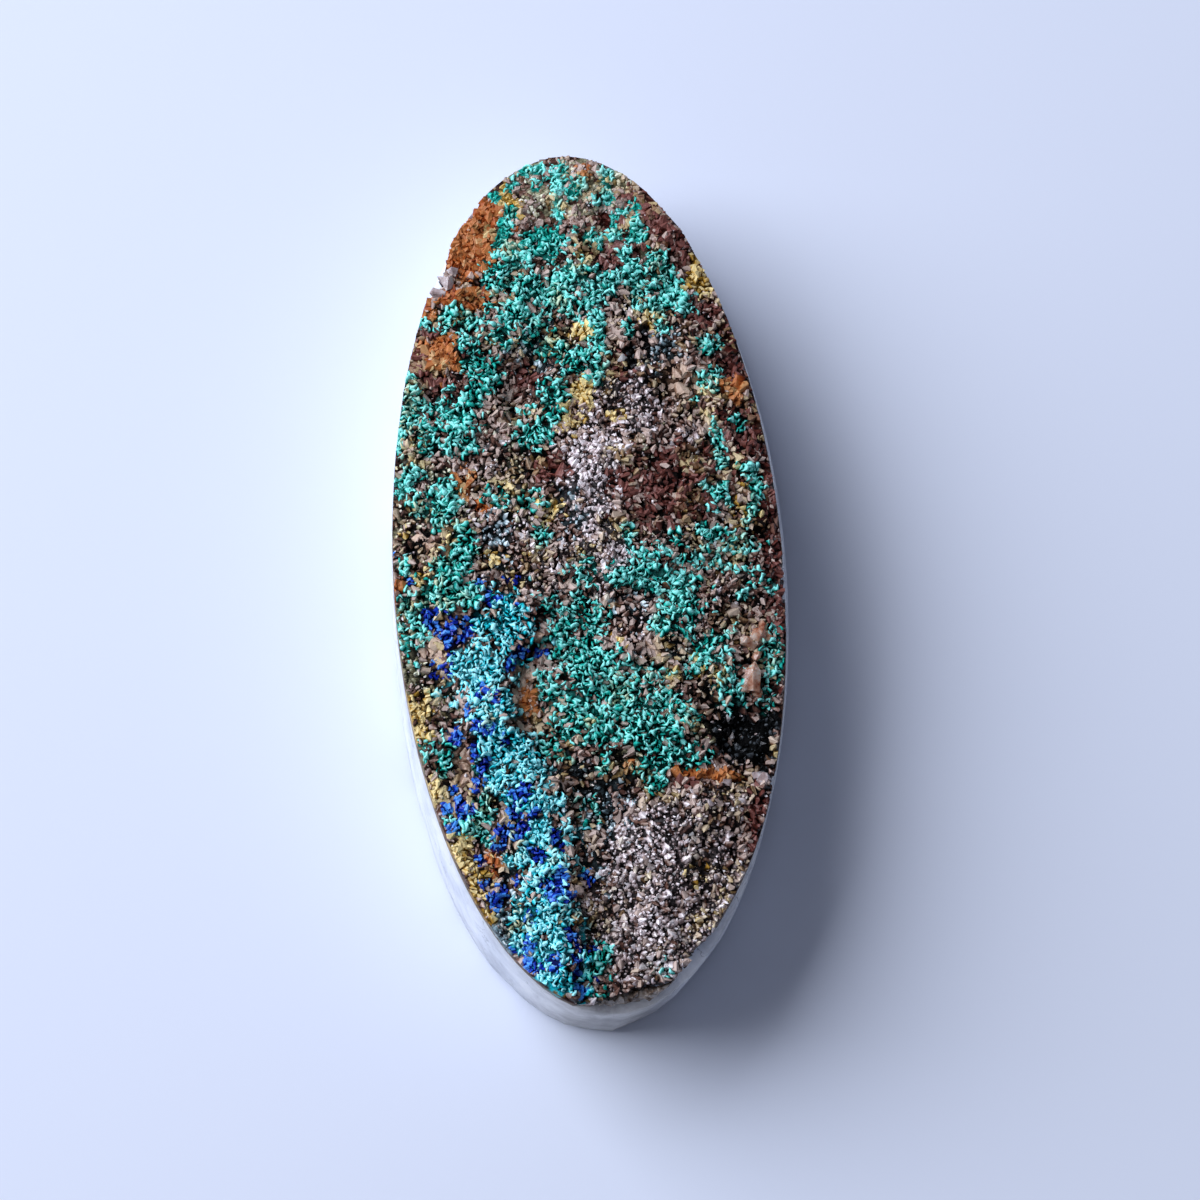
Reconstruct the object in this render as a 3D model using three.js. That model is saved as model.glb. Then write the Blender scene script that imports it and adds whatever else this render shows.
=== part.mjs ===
// Azurite specimen: an oval stone cut from a druse. A milky quartz body with ground sides and a flat back
// carries a rough crust of small quartz crystals, and malachite and azurite have grown on the crust.
// Millimetres, +Z up, the long axis along Y, the flat back on z = 0.

import * as THREE from 'three';

// Driving dimensions of the ground body
const BACK_HALF_LENGTH = 19.7;
const BACK_HALF_WIDTH = 9.0;
const BACK_BEVEL = 0.35;
const BODY_HEIGHT = 6.2;
const SIDE_BULGE = 0.12;
const SIDE_LEVELS = [BACK_BEVEL, 1.9, 3.6, 5.0, BODY_HEIGHT];
const SIDE_STEPS = 88;

// The sides lean in to the edge of the face, which was ground a little turned against the back
const FACE_HALF_LENGTH = 19.65;
const FACE_HALF_WIDTH = 8.6;
const FACE_TURN = THREE.MathUtils.degToRad(2.9);
const FACE_SHIFT = { x: -0.25, y: -0.25 };
const FACE_EDGE_HEIGHT = 6.8;

// The druse crust
const CELL = 0.78;
const RING_STEP = 0.72;
const DOME_RISE = 0.85;
const THINNEST_CRUST = 0.35;
const TALLEST_CRYSTAL = 0.46;
const SHORTEST_CRYSTAL = 0.14;
const SHORT_ONES_FAVOURED = 1.4;
const FLAT_SHARE = 0.12;

// How uneven it is: how far a corner of a cell strays sideways and in height, and where a crystal's tip
// stands over its cell, as shares of two of the cell's corners
const STRAY = 0.4 * CELL;
const UNEVEN = 0.2;
const TIP_SHARES = { least: 0.2, most: 0.46 };

// Facets that grinding left round the sides: the way each one faces, in degrees, and how deep it cuts
const GROUND_FLATS = [
  { facing: -97, cut: 0.12 },
  { facing: -66, cut: 0.14 },
  { facing: -42, cut: 0.14 },
  { facing: -16, cut: 0.06 },
  { facing: 14, cut: 0.05 },
  { facing: 52, cut: 0.12 },
  { facing: 84, cut: 0.1 },
  { facing: 118, cut: 0.14 },
  { facing: 162, cut: 0.06 },
  { facing: 196, cut: 0.05 },
  { facing: 224, cut: 0.13 },
  { facing: 243, cut: 0.12 },
];

// Lumps and hollows of the crust: middle, half-widths and rise
const LUMPS = [
  { x: 0.5, y: 3.4, wide: 2.3, long: 3.6, rise: 0.3 },
  { x: 3.4, y: -14.2, wide: 2.5, long: 3.0, rise: 0.35 },
  { x: -1.3, y: 14.2, wide: 3.2, long: 1.3, rise: 0.3 },
  { x: -6.3, y: 9.6, wide: 1.3, long: 1.9, rise: 0.25 },
  { x: 4.2, y: 4.0, wide: 2.0, long: 2.4, rise: 0.15 },
  { x: 3.2, y: 15.4, wide: 1.3, long: 1.5, rise: 0.25 },
  { x: 2.9, y: 0.4, wide: 1.5, long: 1.0, rise: 0.25 },
  { x: 0.6, y: 15.9, wide: 0.9, long: 1.2, rise: -0.3 },
  { x: 6.7, y: -7.6, wide: 1.4, long: 1.7, rise: -0.85 },
  { x: -0.2, y: -1.9, wide: 1.3, long: 1.5, rise: -0.4 },
  { x: -2.5, y: -6.4, wide: 0.9, long: 1.8, rise: -0.4 },
  { x: -3.9, y: -16.2, wide: 1.0, long: 1.6, rise: -0.3 },
  { x: 5.4, y: 8.2, wide: 1.2, long: 1.6, rise: -0.2 },
];

// Low swells that cross the whole crust: how fast each runs along x and y, where it starts, and its height
const SWELLS = [
  { x: 1.7, y: 0.5, start: 0.4, rise: 0.07 },
  { x: -0.7, y: 1.4, start: 2.1, rise: 0.07 },
  { x: 1.2, y: -2.1, start: 4.0, rise: 0.06 },
];

// Narrow valleys and cracks in the crust: the two ends, half-width and depth
const GROOVES = [
  { from: [-3.3, 7.4], to: [-2.0, 12.0], wide: 0.8, deep: 0.7 },
  { from: [2.3, -9.6], to: [7.9, -9.4], wide: 0.45, deep: 0.35 },
  { from: [-0.4, -10.2], to: [2.2, -12.9], wide: 0.7, deep: 0.4 },
];

// Below the long crack at the right the crust stands higher, as a ledge
const LEDGE = { left: 2.3, y: -9.5, rise: 0.4, softness: 0.35, reach: 3.0 };

// Places where the crust has chipped off the edge and bare quartz shows: middle, radius and depth
const EDGE_CHIPS = [
  { x: -7.0, y: 13.3, radius: 0.9, deep: 0.7 },
  { x: -6.3, y: 14.9, radius: 0.5, deep: 0.3 },
  { x: -5.2, y: 16.4, radius: 0.5, deep: 0.35 },
  { x: 7.3, y: -9.7, radius: 0.6, deep: 0.45 },
  { x: 8.3, y: -1.0, radius: 1.3, deep: 0.2 },
  { x: 1.2, y: -19.4, radius: 2.0, deep: 0.9 },
  { x: 3.9, y: -17.6, radius: 1.3, deep: 0.3 },
];
const CHIP_PULL_ALONG = 0.4;

// The malachite band: its middle line from head to foot, with its half-width at each point
const BAND_LINE = [
  { x: -6.2, y: -1.1, wide: 1.0 },
  { x: -4.8, y: -1.7, wide: 1.1 },
  { x: -3.9, y: -2.9, wide: 1.2 },
  { x: -4.8, y: -4.9, wide: 1.2 },
  { x: -4.6, y: -7.4, wide: 1.0 },
  { x: -3.4, y: -9.2, wide: 1.0 },
  { x: -2.4, y: -11.0, wide: 1.1 },
  { x: -2.2, y: -14.0, wide: 1.15 },
  { x: -2.0, y: -17.0, wide: 1.15 },
  { x: -1.9, y: -18.4, wide: 0.9 },
];
const BAND_LIFT = 0.5;
const BAND_LIFT_TO_THE_RIGHT = 0.22;
const BAND_BUMP = 0.24;
const BAND_SHOULDER = { rim: 0.45, least: 0.3 };

// The azurite clusters beside the band: middle and radius
const AZURITE_PLACES = [
  { x: -6.9, y: -2.5, radius: 0.6 },
  { x: -5.9, y: -3.2, radius: 0.65 },
  { x: -3.6, y: -0.9, radius: 0.5 },
  { x: -2.4, y: -4.0, radius: 0.5 },
  { x: -6.7, y: -4.8, radius: 0.5 },
  { x: -6.2, y: -7.9, radius: 0.6 },
  { x: -5.9, y: -11.0, radius: 0.7 },
  { x: -4.0, y: -11.9, radius: 0.75 },
  { x: -5.0, y: -13.4, radius: 0.5 },
  { x: -4.5, y: -15.1, radius: 0.5 },
  { x: -0.7, y: -14.2, radius: 0.6 },
  { x: -0.5, y: -17.0, radius: 0.55 },
  { x: -3.8, y: -17.5, radius: 0.5 },
];
const AZURITE_LIFT = 0.35;
const AZURITE_POINT = 0.4;

// How uneven the grown minerals are: their lift, their points' height, and where a point stands on its cell
const GROWN_LIFT = { least: 0.75, most: 1.15 };
const GROWN_POINT = { least: 0.5, most: 1 };
const GROWN_TIP_SHARES = { least: 0.25, most: 0.42 };

// The two large quartz crystals near the right edge
const QUARTZ_PLACES = [
  { x: 7.1, y: -3.5, radius: 0.55 },
  { x: 6.8, y: -5.1, radius: 0.7 },
];
const QUARTZ_LIFT = 0.4;
const QUARTZ_POINT = 0.45;

// The same value between 0 and 1 each time for the same pair of numbers
function chance(a, b) {
  const wave = Math.sin(a * 12.9898 + b * 78.233) * 43758.5453;
  return wave - Math.floor(wave);
}

function blend(from, to, share) {
  return from + (to - from) * share;
}

function within({ least, most }, share) {
  return blend(least, most, share);
}

// An oval's points, spaced evenly along it from its +Y end, as angles of the parametric ellipse
const OVAL_START = Math.PI / 2;
const OVAL_FINE_STEPS = 720;
function evenAngles(halfWidth, halfLength, count) {
  const lengths = [0];
  for (let i = 1; i <= OVAL_FINE_STEPS; i += 1) {
    const middle = OVAL_START + ((i - 0.5) / OVAL_FINE_STEPS) * 2 * Math.PI;
    const speed = Math.hypot(halfWidth * Math.sin(middle), halfLength * Math.cos(middle));
    lengths.push(lengths[i - 1] + speed);
  }
  const angles = [];
  let step = 0;
  for (let i = 0; i < count; i += 1) {
    const wanted = ((i + 0.5) / count) * lengths[OVAL_FINE_STEPS];
    while (lengths[step + 1] < wanted) step += 1;
    const share = (wanted - lengths[step]) / (lengths[step + 1] - lengths[step]);
    angles.push(OVAL_START + ((step + share) / OVAL_FINE_STEPS) * 2 * Math.PI);
  }
  return angles;
}

// How many cells fit round an oval, as an even number; the length round it is Ramanujan's formula
function cellsRound(halfWidth, halfLength) {
  const h = ((halfWidth - halfLength) / (halfWidth + halfLength)) ** 2;
  const length = Math.PI * (halfWidth + halfLength) * (1 + (3 * h) / (10 + Math.sqrt(4 - 3 * h)));
  return Math.round(length / CELL / 2) * 2;
}

// A point of the back's outline, cut back wherever a ground flat takes the oval off
function backOutline(angle, inset) {
  let x = (BACK_HALF_WIDTH - inset) * Math.cos(angle);
  let y = (BACK_HALF_LENGTH - inset) * Math.sin(angle);
  for (const { facing, cut } of GROUND_FLATS) {
    const nx = Math.cos(THREE.MathUtils.degToRad(facing));
    const ny = Math.sin(THREE.MathUtils.degToRad(facing));
    const reach = Math.hypot(BACK_HALF_WIDTH * nx, BACK_HALF_LENGTH * ny) - inset - cut;
    const over = Math.max(0, x * nx + y * ny - reach);
    x -= over * nx;
    y -= over * ny;
  }
  return [x, y];
}

// A point inside the face's oval: share 1 is its edge, share 0 its middle line
const MIDDLE_LINE = FACE_HALF_LENGTH - FACE_HALF_WIDTH;
function faceOval(angle, share) {
  const x = FACE_HALF_WIDTH * share * Math.cos(angle);
  const y = blend(MIDDLE_LINE, FACE_HALF_LENGTH, share) * Math.sin(angle);
  return [
    FACE_SHIFT.x + x * Math.cos(FACE_TURN) - y * Math.sin(FACE_TURN),
    FACE_SHIFT.y + x * Math.sin(FACE_TURN) + y * Math.cos(FACE_TURN),
  ];
}

// A point of the ground side, which runs straight from back to face but for a slight bulge
function sidePoint(angle, z) {
  const [backX, backY] = backOutline(angle, z > 0 ? 0 : BACK_BEVEL);
  const [faceX, faceY] = faceOval(angle, 1);
  const share = z / FACE_EDGE_HEIGHT;
  const bulge = 1 + (SIDE_BULGE * Math.sin(Math.PI * share)) / BACK_HALF_WIDTH;
  return new THREE.Vector3(
    blend(backX, faceX, share) * bulge,
    blend(backY, faceY, share),
    z,
  );
}

// How far a point lies from a line between two ends, and how far along that line it is
function nearLine(x, y, from, to) {
  const along = [to[0] - from[0], to[1] - from[1]];
  const length2 = along[0] ** 2 + along[1] ** 2;
  const raw = ((x - from[0]) * along[0] + (y - from[1]) * along[1]) / length2;
  const share = THREE.MathUtils.clamp(raw, 0, 1);
  const dx = x - from[0] - along[0] * share;
  const dy = y - from[1] - along[1] * share;
  const side = Math.sign(along[0] * (y - from[1]) - along[1] * (x - from[0]));
  return { distance: Math.hypot(dx, dy), share, side };
}

// The lie of the crust under its crystals
function crustHeight(x, y) {
  const reach = Math.hypot((x - FACE_SHIFT.x) / FACE_HALF_WIDTH, (y - FACE_SHIFT.y) / FACE_HALF_LENGTH);
  let z = FACE_EDGE_HEIGHT + DOME_RISE * (1 - Math.min(reach, 1) ** 2);
  for (const { x: middleX, y: middleY, wide, long, rise } of LUMPS) {
    z += rise * Math.exp(-(((x - middleX) / wide) ** 2) - ((y - middleY) / long) ** 2);
  }
  for (const swell of SWELLS) {
    z += swell.rise * Math.sin(x * swell.x + y * swell.y + swell.start);
  }
  for (const { from, to, wide, deep } of GROOVES) {
    z -= deep * Math.exp(-((nearLine(x, y, from, to).distance / wide) ** 2));
  }
  const below = (LEDGE.y - y) / LEDGE.softness;
  const inward = (x - LEDGE.left) / LEDGE.softness;
  const fade = Math.exp(-Math.max(0, LEDGE.y - y) / LEDGE.reach);
  z += (LEDGE.rise * fade) / ((1 + Math.exp(-below)) * (1 + Math.exp(-inward)));
  return Math.max(z, BODY_HEIGHT + THINNEST_CRUST);
}

// A point of the crust's edge, drawn in where the edge is chipped
function edgePoint(point) {
  const toMiddle = new THREE.Vector3(-point.x, -point.y * CHIP_PULL_ALONG, 0).normalize();
  let inset = 0;
  for (const { x, y, radius, deep } of EDGE_CHIPS) {
    const away = Math.hypot(point.x - x, point.y - y) / radius;
    inset = Math.max(inset, deep * Math.max(0, 1 - away ** 2));
  }
  return point.clone().addScaledVector(toMiddle, inset);
}

// Triangles gathered corner by corner, which end as one closed solid
class Faces {
  constructor() {
    this.corners = [];
  }

  add(a, b, c) {
    this.corners.push(a.x, a.y, a.z, b.x, b.y, b.z, c.x, c.y, c.z);
  }

  // A four-cornered face, its corners anticlockwise as seen from outside
  quad(a, b, c, d) {
    this.add(a, b, c);
    this.add(a, c, d);
  }

  // A three-sided crystal on the face a, b, c, or that face alone where the crystal has no height
  crystal(a, b, c, shareA, shareB, height) {
    if (height === 0) {
      this.add(a, b, c);
      return;
    }
    const tip = new THREE.Vector3()
      .addScaledVector(a, shareA)
      .addScaledVector(b, shareB)
      .addScaledVector(c, 1 - shareA - shareB);
    tip.z += height;
    this.add(a, b, tip);
    this.add(b, c, tip);
    this.add(c, a, tip);
  }

  // A flat lid over a ring of points, laid from side to side; the ring starts at a far end
  lid(ring, upwards) {
    const last = ring.length - 1;
    const put = (a, b, c) => (upwards ? this.add(a, b, c) : this.add(c, b, a));
    let low = 0;
    let high = last;
    while (high - low > 1) {
      put(ring[low], ring[low + 1], ring[high]);
      low += 1;
      if (high - low > 1) put(ring[low], ring[high - 1], ring[high]);
      high -= 1;
    }
  }

  mesh(name, colour, roughness) {
    const shape = new THREE.BufferGeometry();
    shape.setAttribute('position', new THREE.Float32BufferAttribute(this.corners, 3));
    shape.computeVertexNormals();
    const material = new THREE.MeshStandardMaterial({ color: colour, roughness, metalness: 0 });
    const mesh = new THREE.Mesh(shape, material);
    mesh.name = name;
    return mesh;
  }
}

// The quartz body: a bevelled flat back, ground sides and a flat top under the crust
function quartzBody() {
  const faces = new Faces();
  const angles = evenAngles(BACK_HALF_WIDTH, BACK_HALF_LENGTH, SIDE_STEPS);
  const rings = [0, ...SIDE_LEVELS].map((z) => angles.map((angle) => sidePoint(angle, z)));
  for (let level = 1; level < rings.length; level += 1) {
    for (let i = 0; i < SIDE_STEPS; i += 1) {
      const next = (i + 1) % SIDE_STEPS;
      faces.quad(rings[level - 1][i], rings[level - 1][next], rings[level][next], rings[level][i]);
    }
  }
  faces.lid(rings[0], false);
  faces.lid(rings[rings.length - 1], true);
  return faces.mesh('quartz_body', '#cdd3e4', 0.35);
}

// The crust's upper side as a net of cells: rings of points inside one another, joined by triangles
function crustNet() {
  const points = [];
  const cells = [];
  const ringCount = Math.round(FACE_HALF_WIDTH / RING_STEP);
  let outer = null;
  for (let ring = ringCount; ring >= 1; ring -= 1) {
    const share = (ring - 0.5) / (ringCount - 0.5);
    const halfWidth = FACE_HALF_WIDTH * share;
    const halfLength = blend(MIDDLE_LINE, FACE_HALF_LENGTH, share);
    const inner = evenAngles(halfWidth, halfLength, cellsRound(halfWidth, halfLength)).map((angle) => {
      const onEdge = ring === ringCount;
      const seed = points.length;
      const point = onEdge ? edgePoint(sidePoint(angle, FACE_EDGE_HEIGHT)) : insidePoint(angle, share, seed);
      const uneven = onEdge ? 0 : UNEVEN * (chance(seed, 3) - 0.5);
      point.z = crustHeight(point.x, point.y) + uneven;
      points.push(point);
      return points.length - 1;
    });
    if (outer) joinRings(points, cells, outer, inner);
    outer = inner;
  }
  closeMiddle(cells, outer);
  const edgeCells = cellsRound(FACE_HALF_WIDTH, FACE_HALF_LENGTH);
  return { points, cells, edgeAngles: evenAngles(FACE_HALF_WIDTH, FACE_HALF_LENGTH, edgeCells) };
}

// A point of the net away from its edge, moved a little off its ring so that no two cells are alike
function insidePoint(angle, share, seed) {
  const [x, y] = faceOval(angle, share);
  return new THREE.Vector3(
    x + STRAY * (chance(seed, 1) - 0.5),
    y + STRAY * (chance(seed, 2) - 0.5),
    0,
  );
}

// Two rings joined by triangles, always over the shorter of the two diagonals
function joinRings(points, cells, outer, inner) {
  let i = 0;
  let j = 0;
  while (i < outer.length || j < inner.length) {
    const a = outer[i % outer.length];
    const b = outer[(i + 1) % outer.length];
    const c = inner[j % inner.length];
    const d = inner[(j + 1) % inner.length];
    const alongOuter = points[b].distanceTo(points[c]);
    const alongInner = points[a].distanceTo(points[d]);
    if (j === inner.length || (i < outer.length && alongOuter < alongInner)) {
      cells.push([a, b, c]);
      i += 1;
    } else {
      cells.push([a, d, c]);
      j += 1;
    }
  }
}

// The slot inside the innermost ring, closed from side to side
function closeMiddle(cells, ring) {
  let low = 0;
  let high = ring.length - 1;
  while (high - low > 1) {
    cells.push([ring[low], ring[low + 1], ring[high]]);
    low += 1;
    if (high - low > 1) cells.push([ring[low], ring[high - 1], ring[high]]);
    high -= 1;
  }
}

function cellMiddle(net, cell) {
  const [a, b, c] = net.cells[cell].map((index) => net.points[index]);
  return new THREE.Vector3().add(a).add(b).add(c).divideScalar(3);
}

// Of the cells that a test picks, the patch that holds the first one and hangs together edge to edge
function patchOf(net, taken, test) {
  const picked = new Set();
  net.cells.forEach((corners, cell) => {
    if (!taken.has(cell) && test(cellMiddle(net, cell))) picked.add(cell);
  });
  closePinches(net, picked, taken);
  const patch = new Set([...picked].slice(0, 1));
  let grew = true;
  while (grew) {
    grew = false;
    for (const cell of picked) {
      if (patch.has(cell)) continue;
      const touches = [...patch].some((other) => sharedCorners(net, cell, other) === 2);
      if (!touches) continue;
      patch.add(cell);
      grew = true;
    }
  }
  patch.forEach((cell) => taken.add(cell));
  return [...patch];
}

function sharedCorners(net, cell, other) {
  return net.cells[cell].filter((index) => net.cells[other].includes(index)).length;
}

// The edges that run round the outside of some cells, each with the cells' side on its left
function outsideEdges(net, cells) {
  const edges = new Map();
  for (const cell of cells) {
    const [a, b, c] = net.cells[cell];
    for (const [from, to] of [[a, b], [b, c], [c, a]]) {
      if (!edges.delete(`${to} ${from}`)) edges.set(`${from} ${to}`, [from, to]);
    }
  }
  return [...edges.values()];
}

// Where two parts of a patch meet in one corner only, the cells round that corner join the patch
function closePinches(net, picked, taken) {
  for (;;) {
    const starts = outsideEdges(net, picked).map(([from]) => from);
    const pinch = starts.find((corner, i) => starts.indexOf(corner) !== i);
    if (pinch === undefined) return;
    const before = picked.size;
    net.cells.forEach((corners, cell) => {
      if (corners.includes(pinch) && !taken.has(cell)) picked.add(cell);
    });
    if (picked.size === before) {
      net.cells.forEach((corners, cell) => {
        if (corners.includes(pinch)) picked.delete(cell);
      });
    }
  }
}

// The crust: crystals on every cell that nothing else covers, a ground edge and a flat underside
function druseCrust(net, taken) {
  const faces = new Faces();
  net.cells.forEach(([a, b, c], cell) => {
    const plain = taken.has(cell) || chance(cell, 5) < FLAT_SHARE;
    const size = chance(cell, 6) ** SHORT_ONES_FAVOURED;
    const height = plain ? 0 : blend(SHORTEST_CRYSTAL, TALLEST_CRYSTAL, size);
    const shareA = within(TIP_SHARES, chance(cell, 7));
    const shareB = within(TIP_SHARES, chance(cell, 8));
    faces.crystal(net.points[a], net.points[b], net.points[c], shareA, shareB, height);
  });
  const foot = net.edgeAngles.map((angle) => edgePoint(sidePoint(angle, BODY_HEIGHT)));
  foot.forEach((point, i) => {
    const next = (i + 1) % foot.length;
    faces.quad(point, foot[next], net.points[next], net.points[i]);
  });
  faces.lid(foot, false);
  return faces.mesh('druse_crust', '#6b5548', 0.8);
}

// A mineral grown on some cells: its underside lies on the crust, its top stands off by the lift
function growth(net, cells, { name, colour, roughness, lift, point }) {
  const faces = new Faces();
  const raised = (index) => {
    const top = net.points[index].clone();
    top.z += lift(top) * within(GROWN_LIFT, chance(index, 9));
    return top;
  };
  for (const cell of cells) {
    const [a, b, c] = net.cells[cell];
    const shareA = within(GROWN_TIP_SHARES, chance(cell, 10));
    const shareB = within(GROWN_TIP_SHARES, chance(cell, 11));
    const height = point * within(GROWN_POINT, chance(cell, 12));
    faces.add(net.points[c], net.points[b], net.points[a]);
    faces.crystal(raised(a), raised(b), raised(c), shareA, shareB, height);
  }
  for (const [from, to] of outsideEdges(net, cells)) {
    faces.quad(net.points[from], net.points[to], raised(to), raised(from));
  }
  return faces.mesh(name, colour, roughness);
}

// The nearest stretch of the malachite band: how far inside its half-width, and on which side
function onBand(x, y) {
  let best = { depth: -Infinity, side: 0 };
  for (let i = 1; i < BAND_LINE.length; i += 1) {
    const start = BAND_LINE[i - 1];
    const end = BAND_LINE[i];
    const { distance, share, side } = nearLine(x, y, [start.x, start.y], [end.x, end.y]);
    const depth = blend(start.wide, end.wide, share) - distance;
    if (depth > best.depth) best = { depth, side };
  }
  return best;
}

function malachiteBand(net, taken) {
  const cells = patchOf(net, taken, (middle) => onBand(middle.x, middle.y).depth > 0);
  return growth(net, cells, {
    name: 'malachite_band',
    colour: '#3f9f93',
    roughness: 0.7,
    lift: ({ x, y }) => {
      const { depth, side } = onBand(x, y);
      const rounded = THREE.MathUtils.clamp(BAND_SHOULDER.rim + depth, BAND_SHOULDER.least, 1);
      return BAND_LIFT * rounded + (side > 0 ? BAND_LIFT_TO_THE_RIGHT : 0);
    },
    point: BAND_BUMP,
  });
}

// Crystals gathered round a place: the cells within its radius, or the one nearest to it
function clusterCells(net, taken, { x, y, radius }) {
  const distance = (middle) => Math.hypot(middle.x - x, middle.y - y);
  const free = net.cells.map((corners, cell) => cell).filter((cell) => !taken.has(cell));
  const nearest = Math.min(...free.map((cell) => distance(cellMiddle(net, cell))));
  return patchOf(net, taken, (middle) => distance(middle) <= Math.max(radius, nearest));
}

function clusters(net, taken, places, look) {
  return places.map((place, i) => {
    const cells = clusterCells(net, taken, place);
    return growth(net, cells, { ...look, name: `${look.name}_${i + 1}` });
  });
}

const specimen = new THREE.Group();
const net = crustNet();
const taken = new Set();
specimen.add(quartzBody());
specimen.add(malachiteBand(net, taken));
specimen.add(
  ...clusters(net, taken, AZURITE_PLACES, {
    name: 'azurite_cluster',
    colour: '#20469f',
    roughness: 0.35,
    lift: () => AZURITE_LIFT,
    point: AZURITE_POINT,
  }),
);
specimen.add(
  ...clusters(net, taken, QUARTZ_PLACES, {
    name: 'quartz_crystal',
    colour: '#c4a79b',
    roughness: 0.3,
    lift: () => QUARTZ_LIFT,
    point: QUARTZ_POINT,
  }),
);
specimen.add(druseCrust(net, taken));

export default specimen;
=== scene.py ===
# %% [markdown]
# # An oval stone cut from a copper-bearing druse
# The real object is a piece of milky quartz about 39 mm long. Its sides and back were ground on a wheel,
# and its top was left as it grew: a crust of small quartz crystals stained by iron, with turquoise
# malachite and deep blue azurite on them. The ground body is one smooth solid. The crust is thousands of
# crystals, so it is made as a rough ground with joined copies of a few crystals spread over it, mineral by
# mineral.

# %% Load the frame
import itertools
import math
from collections import namedtuple

import bpy
import numpy as np
from mathutils import Matrix, Vector
from mathutils.bvhtree import BVHTree


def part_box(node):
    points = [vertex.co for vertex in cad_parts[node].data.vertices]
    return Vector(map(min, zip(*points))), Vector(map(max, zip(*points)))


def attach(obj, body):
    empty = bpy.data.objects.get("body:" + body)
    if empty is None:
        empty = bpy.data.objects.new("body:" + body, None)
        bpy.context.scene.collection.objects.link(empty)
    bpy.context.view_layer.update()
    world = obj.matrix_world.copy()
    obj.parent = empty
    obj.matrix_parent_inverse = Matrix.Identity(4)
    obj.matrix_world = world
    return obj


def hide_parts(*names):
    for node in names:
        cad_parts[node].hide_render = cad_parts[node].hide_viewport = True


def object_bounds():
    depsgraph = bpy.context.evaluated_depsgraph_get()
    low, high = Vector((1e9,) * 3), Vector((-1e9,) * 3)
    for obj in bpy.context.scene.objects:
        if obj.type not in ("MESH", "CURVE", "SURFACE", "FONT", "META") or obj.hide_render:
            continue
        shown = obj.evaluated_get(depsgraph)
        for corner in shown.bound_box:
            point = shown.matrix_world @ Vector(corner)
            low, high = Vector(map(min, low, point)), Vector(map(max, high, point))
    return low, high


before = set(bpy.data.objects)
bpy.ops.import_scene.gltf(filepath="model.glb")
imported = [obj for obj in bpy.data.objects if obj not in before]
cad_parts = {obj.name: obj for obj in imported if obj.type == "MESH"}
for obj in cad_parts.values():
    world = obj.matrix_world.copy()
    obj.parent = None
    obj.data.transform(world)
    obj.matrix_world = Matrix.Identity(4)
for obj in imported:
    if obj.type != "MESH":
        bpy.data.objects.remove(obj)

MM = 0.001
CAD_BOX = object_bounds()
print("CAD box in mm:", [[round(v / MM, 2) for v in corner] for corner in CAD_BOX])

# %% [markdown]
# ## Camera
# The photograph looks almost straight down, from a little below the stone's near end, as a phone held over
# a table does. The frame is square and about 54 mm across at the stone, which a 17 degree lens sees from
# 180 mm away.

# %% Camera
CAMERA_AIM = Vector((0.31, -0.77, 4.0)) * MM
CAMERA_DISTANCE = 180 * MM
CAMERA_TILT = math.radians(15)
CAMERA_LEAN = math.radians(1.5)
CAMERA_ROLL = math.radians(-1.0)
CAMERA_ANGLE = math.radians(17)
NEAREST_SEEN = 10 * MM


def camera_axes():
    """The camera's right, up and back directions."""
    back = Vector((
        -math.sin(CAMERA_LEAN),
        -math.sin(CAMERA_TILT) * math.cos(CAMERA_LEAN),
        math.cos(CAMERA_TILT) * math.cos(CAMERA_LEAN),
    ))
    level = Vector((0, 1, 0)).cross(back).normalized()
    upright = back.cross(level)
    right = level * math.cos(CAMERA_ROLL) + upright * math.sin(CAMERA_ROLL)
    return right, back.cross(right), back


RIGHT, UP, BACK = camera_axes()
EYE = CAMERA_AIM + BACK * CAMERA_DISTANCE

camera_data = bpy.data.cameras.new("camera")
camera_data.sensor_fit = "HORIZONTAL"
camera_data.angle = CAMERA_ANGLE
camera_data.clip_start = NEAREST_SEEN
camera = bpy.data.objects.new("camera", camera_data)
bpy.context.collection.objects.link(camera)
camera.matrix_world = Matrix.Translation(EYE) @ Matrix((RIGHT, UP, BACK)).transposed().to_4x4()
bpy.context.scene.camera = camera
print("camera at", [round(v / MM, 1) for v in EYE], "mm")

# %% [markdown]
# ## Lines of sight
# Whatever was read off the photograph is known by its pixel. A pixel is a direction from the camera's eye,
# and following that direction down to the stone later gives the real place.

# %% Lines of sight
PHOTO_SIDE = 1200


def sight_line(px, py):
    """The direction in which the camera sees a pixel of the 1200-pixel photograph."""
    half = PHOTO_SIDE / 2
    focal = half / math.tan(CAMERA_ANGLE / 2)
    return (RIGHT * (px - half) / focal + UP * (half - py) / focal - BACK).normalized()


print("line of sight through the middle:", [round(v, 3) for v in sight_line(PHOTO_SIDE / 2, PHOTO_SIDE / 2)])

# %% [markdown]
# ## Colours
# Colours are written as the hex values that a screen shows. Cycles works with linear light, so one function
# turns them.


# %% Colours
def linear(hex_colour, alpha=1.0):
    """An sRGB hex colour as linear RGBA."""
    shown = [int(hex_colour[i:i + 2], 16) / 255 for i in (1, 3, 5)]
    return [c / 12.92 if c <= 0.04045 else ((c + 0.055) / 1.055) ** 2.4 for c in shown] + [alpha]


print("middle grey in linear light:", round(linear("#808080")[0], 3))

# %% [markdown]
# ## Nodes
# A material is a net of shader nodes. One function adds any node with its settings and links, and with the
# stops of a colour ramp, which keeps each material short enough to read. A pattern's scale is worked out
# from how many of it fit in a real millimetre.


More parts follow.
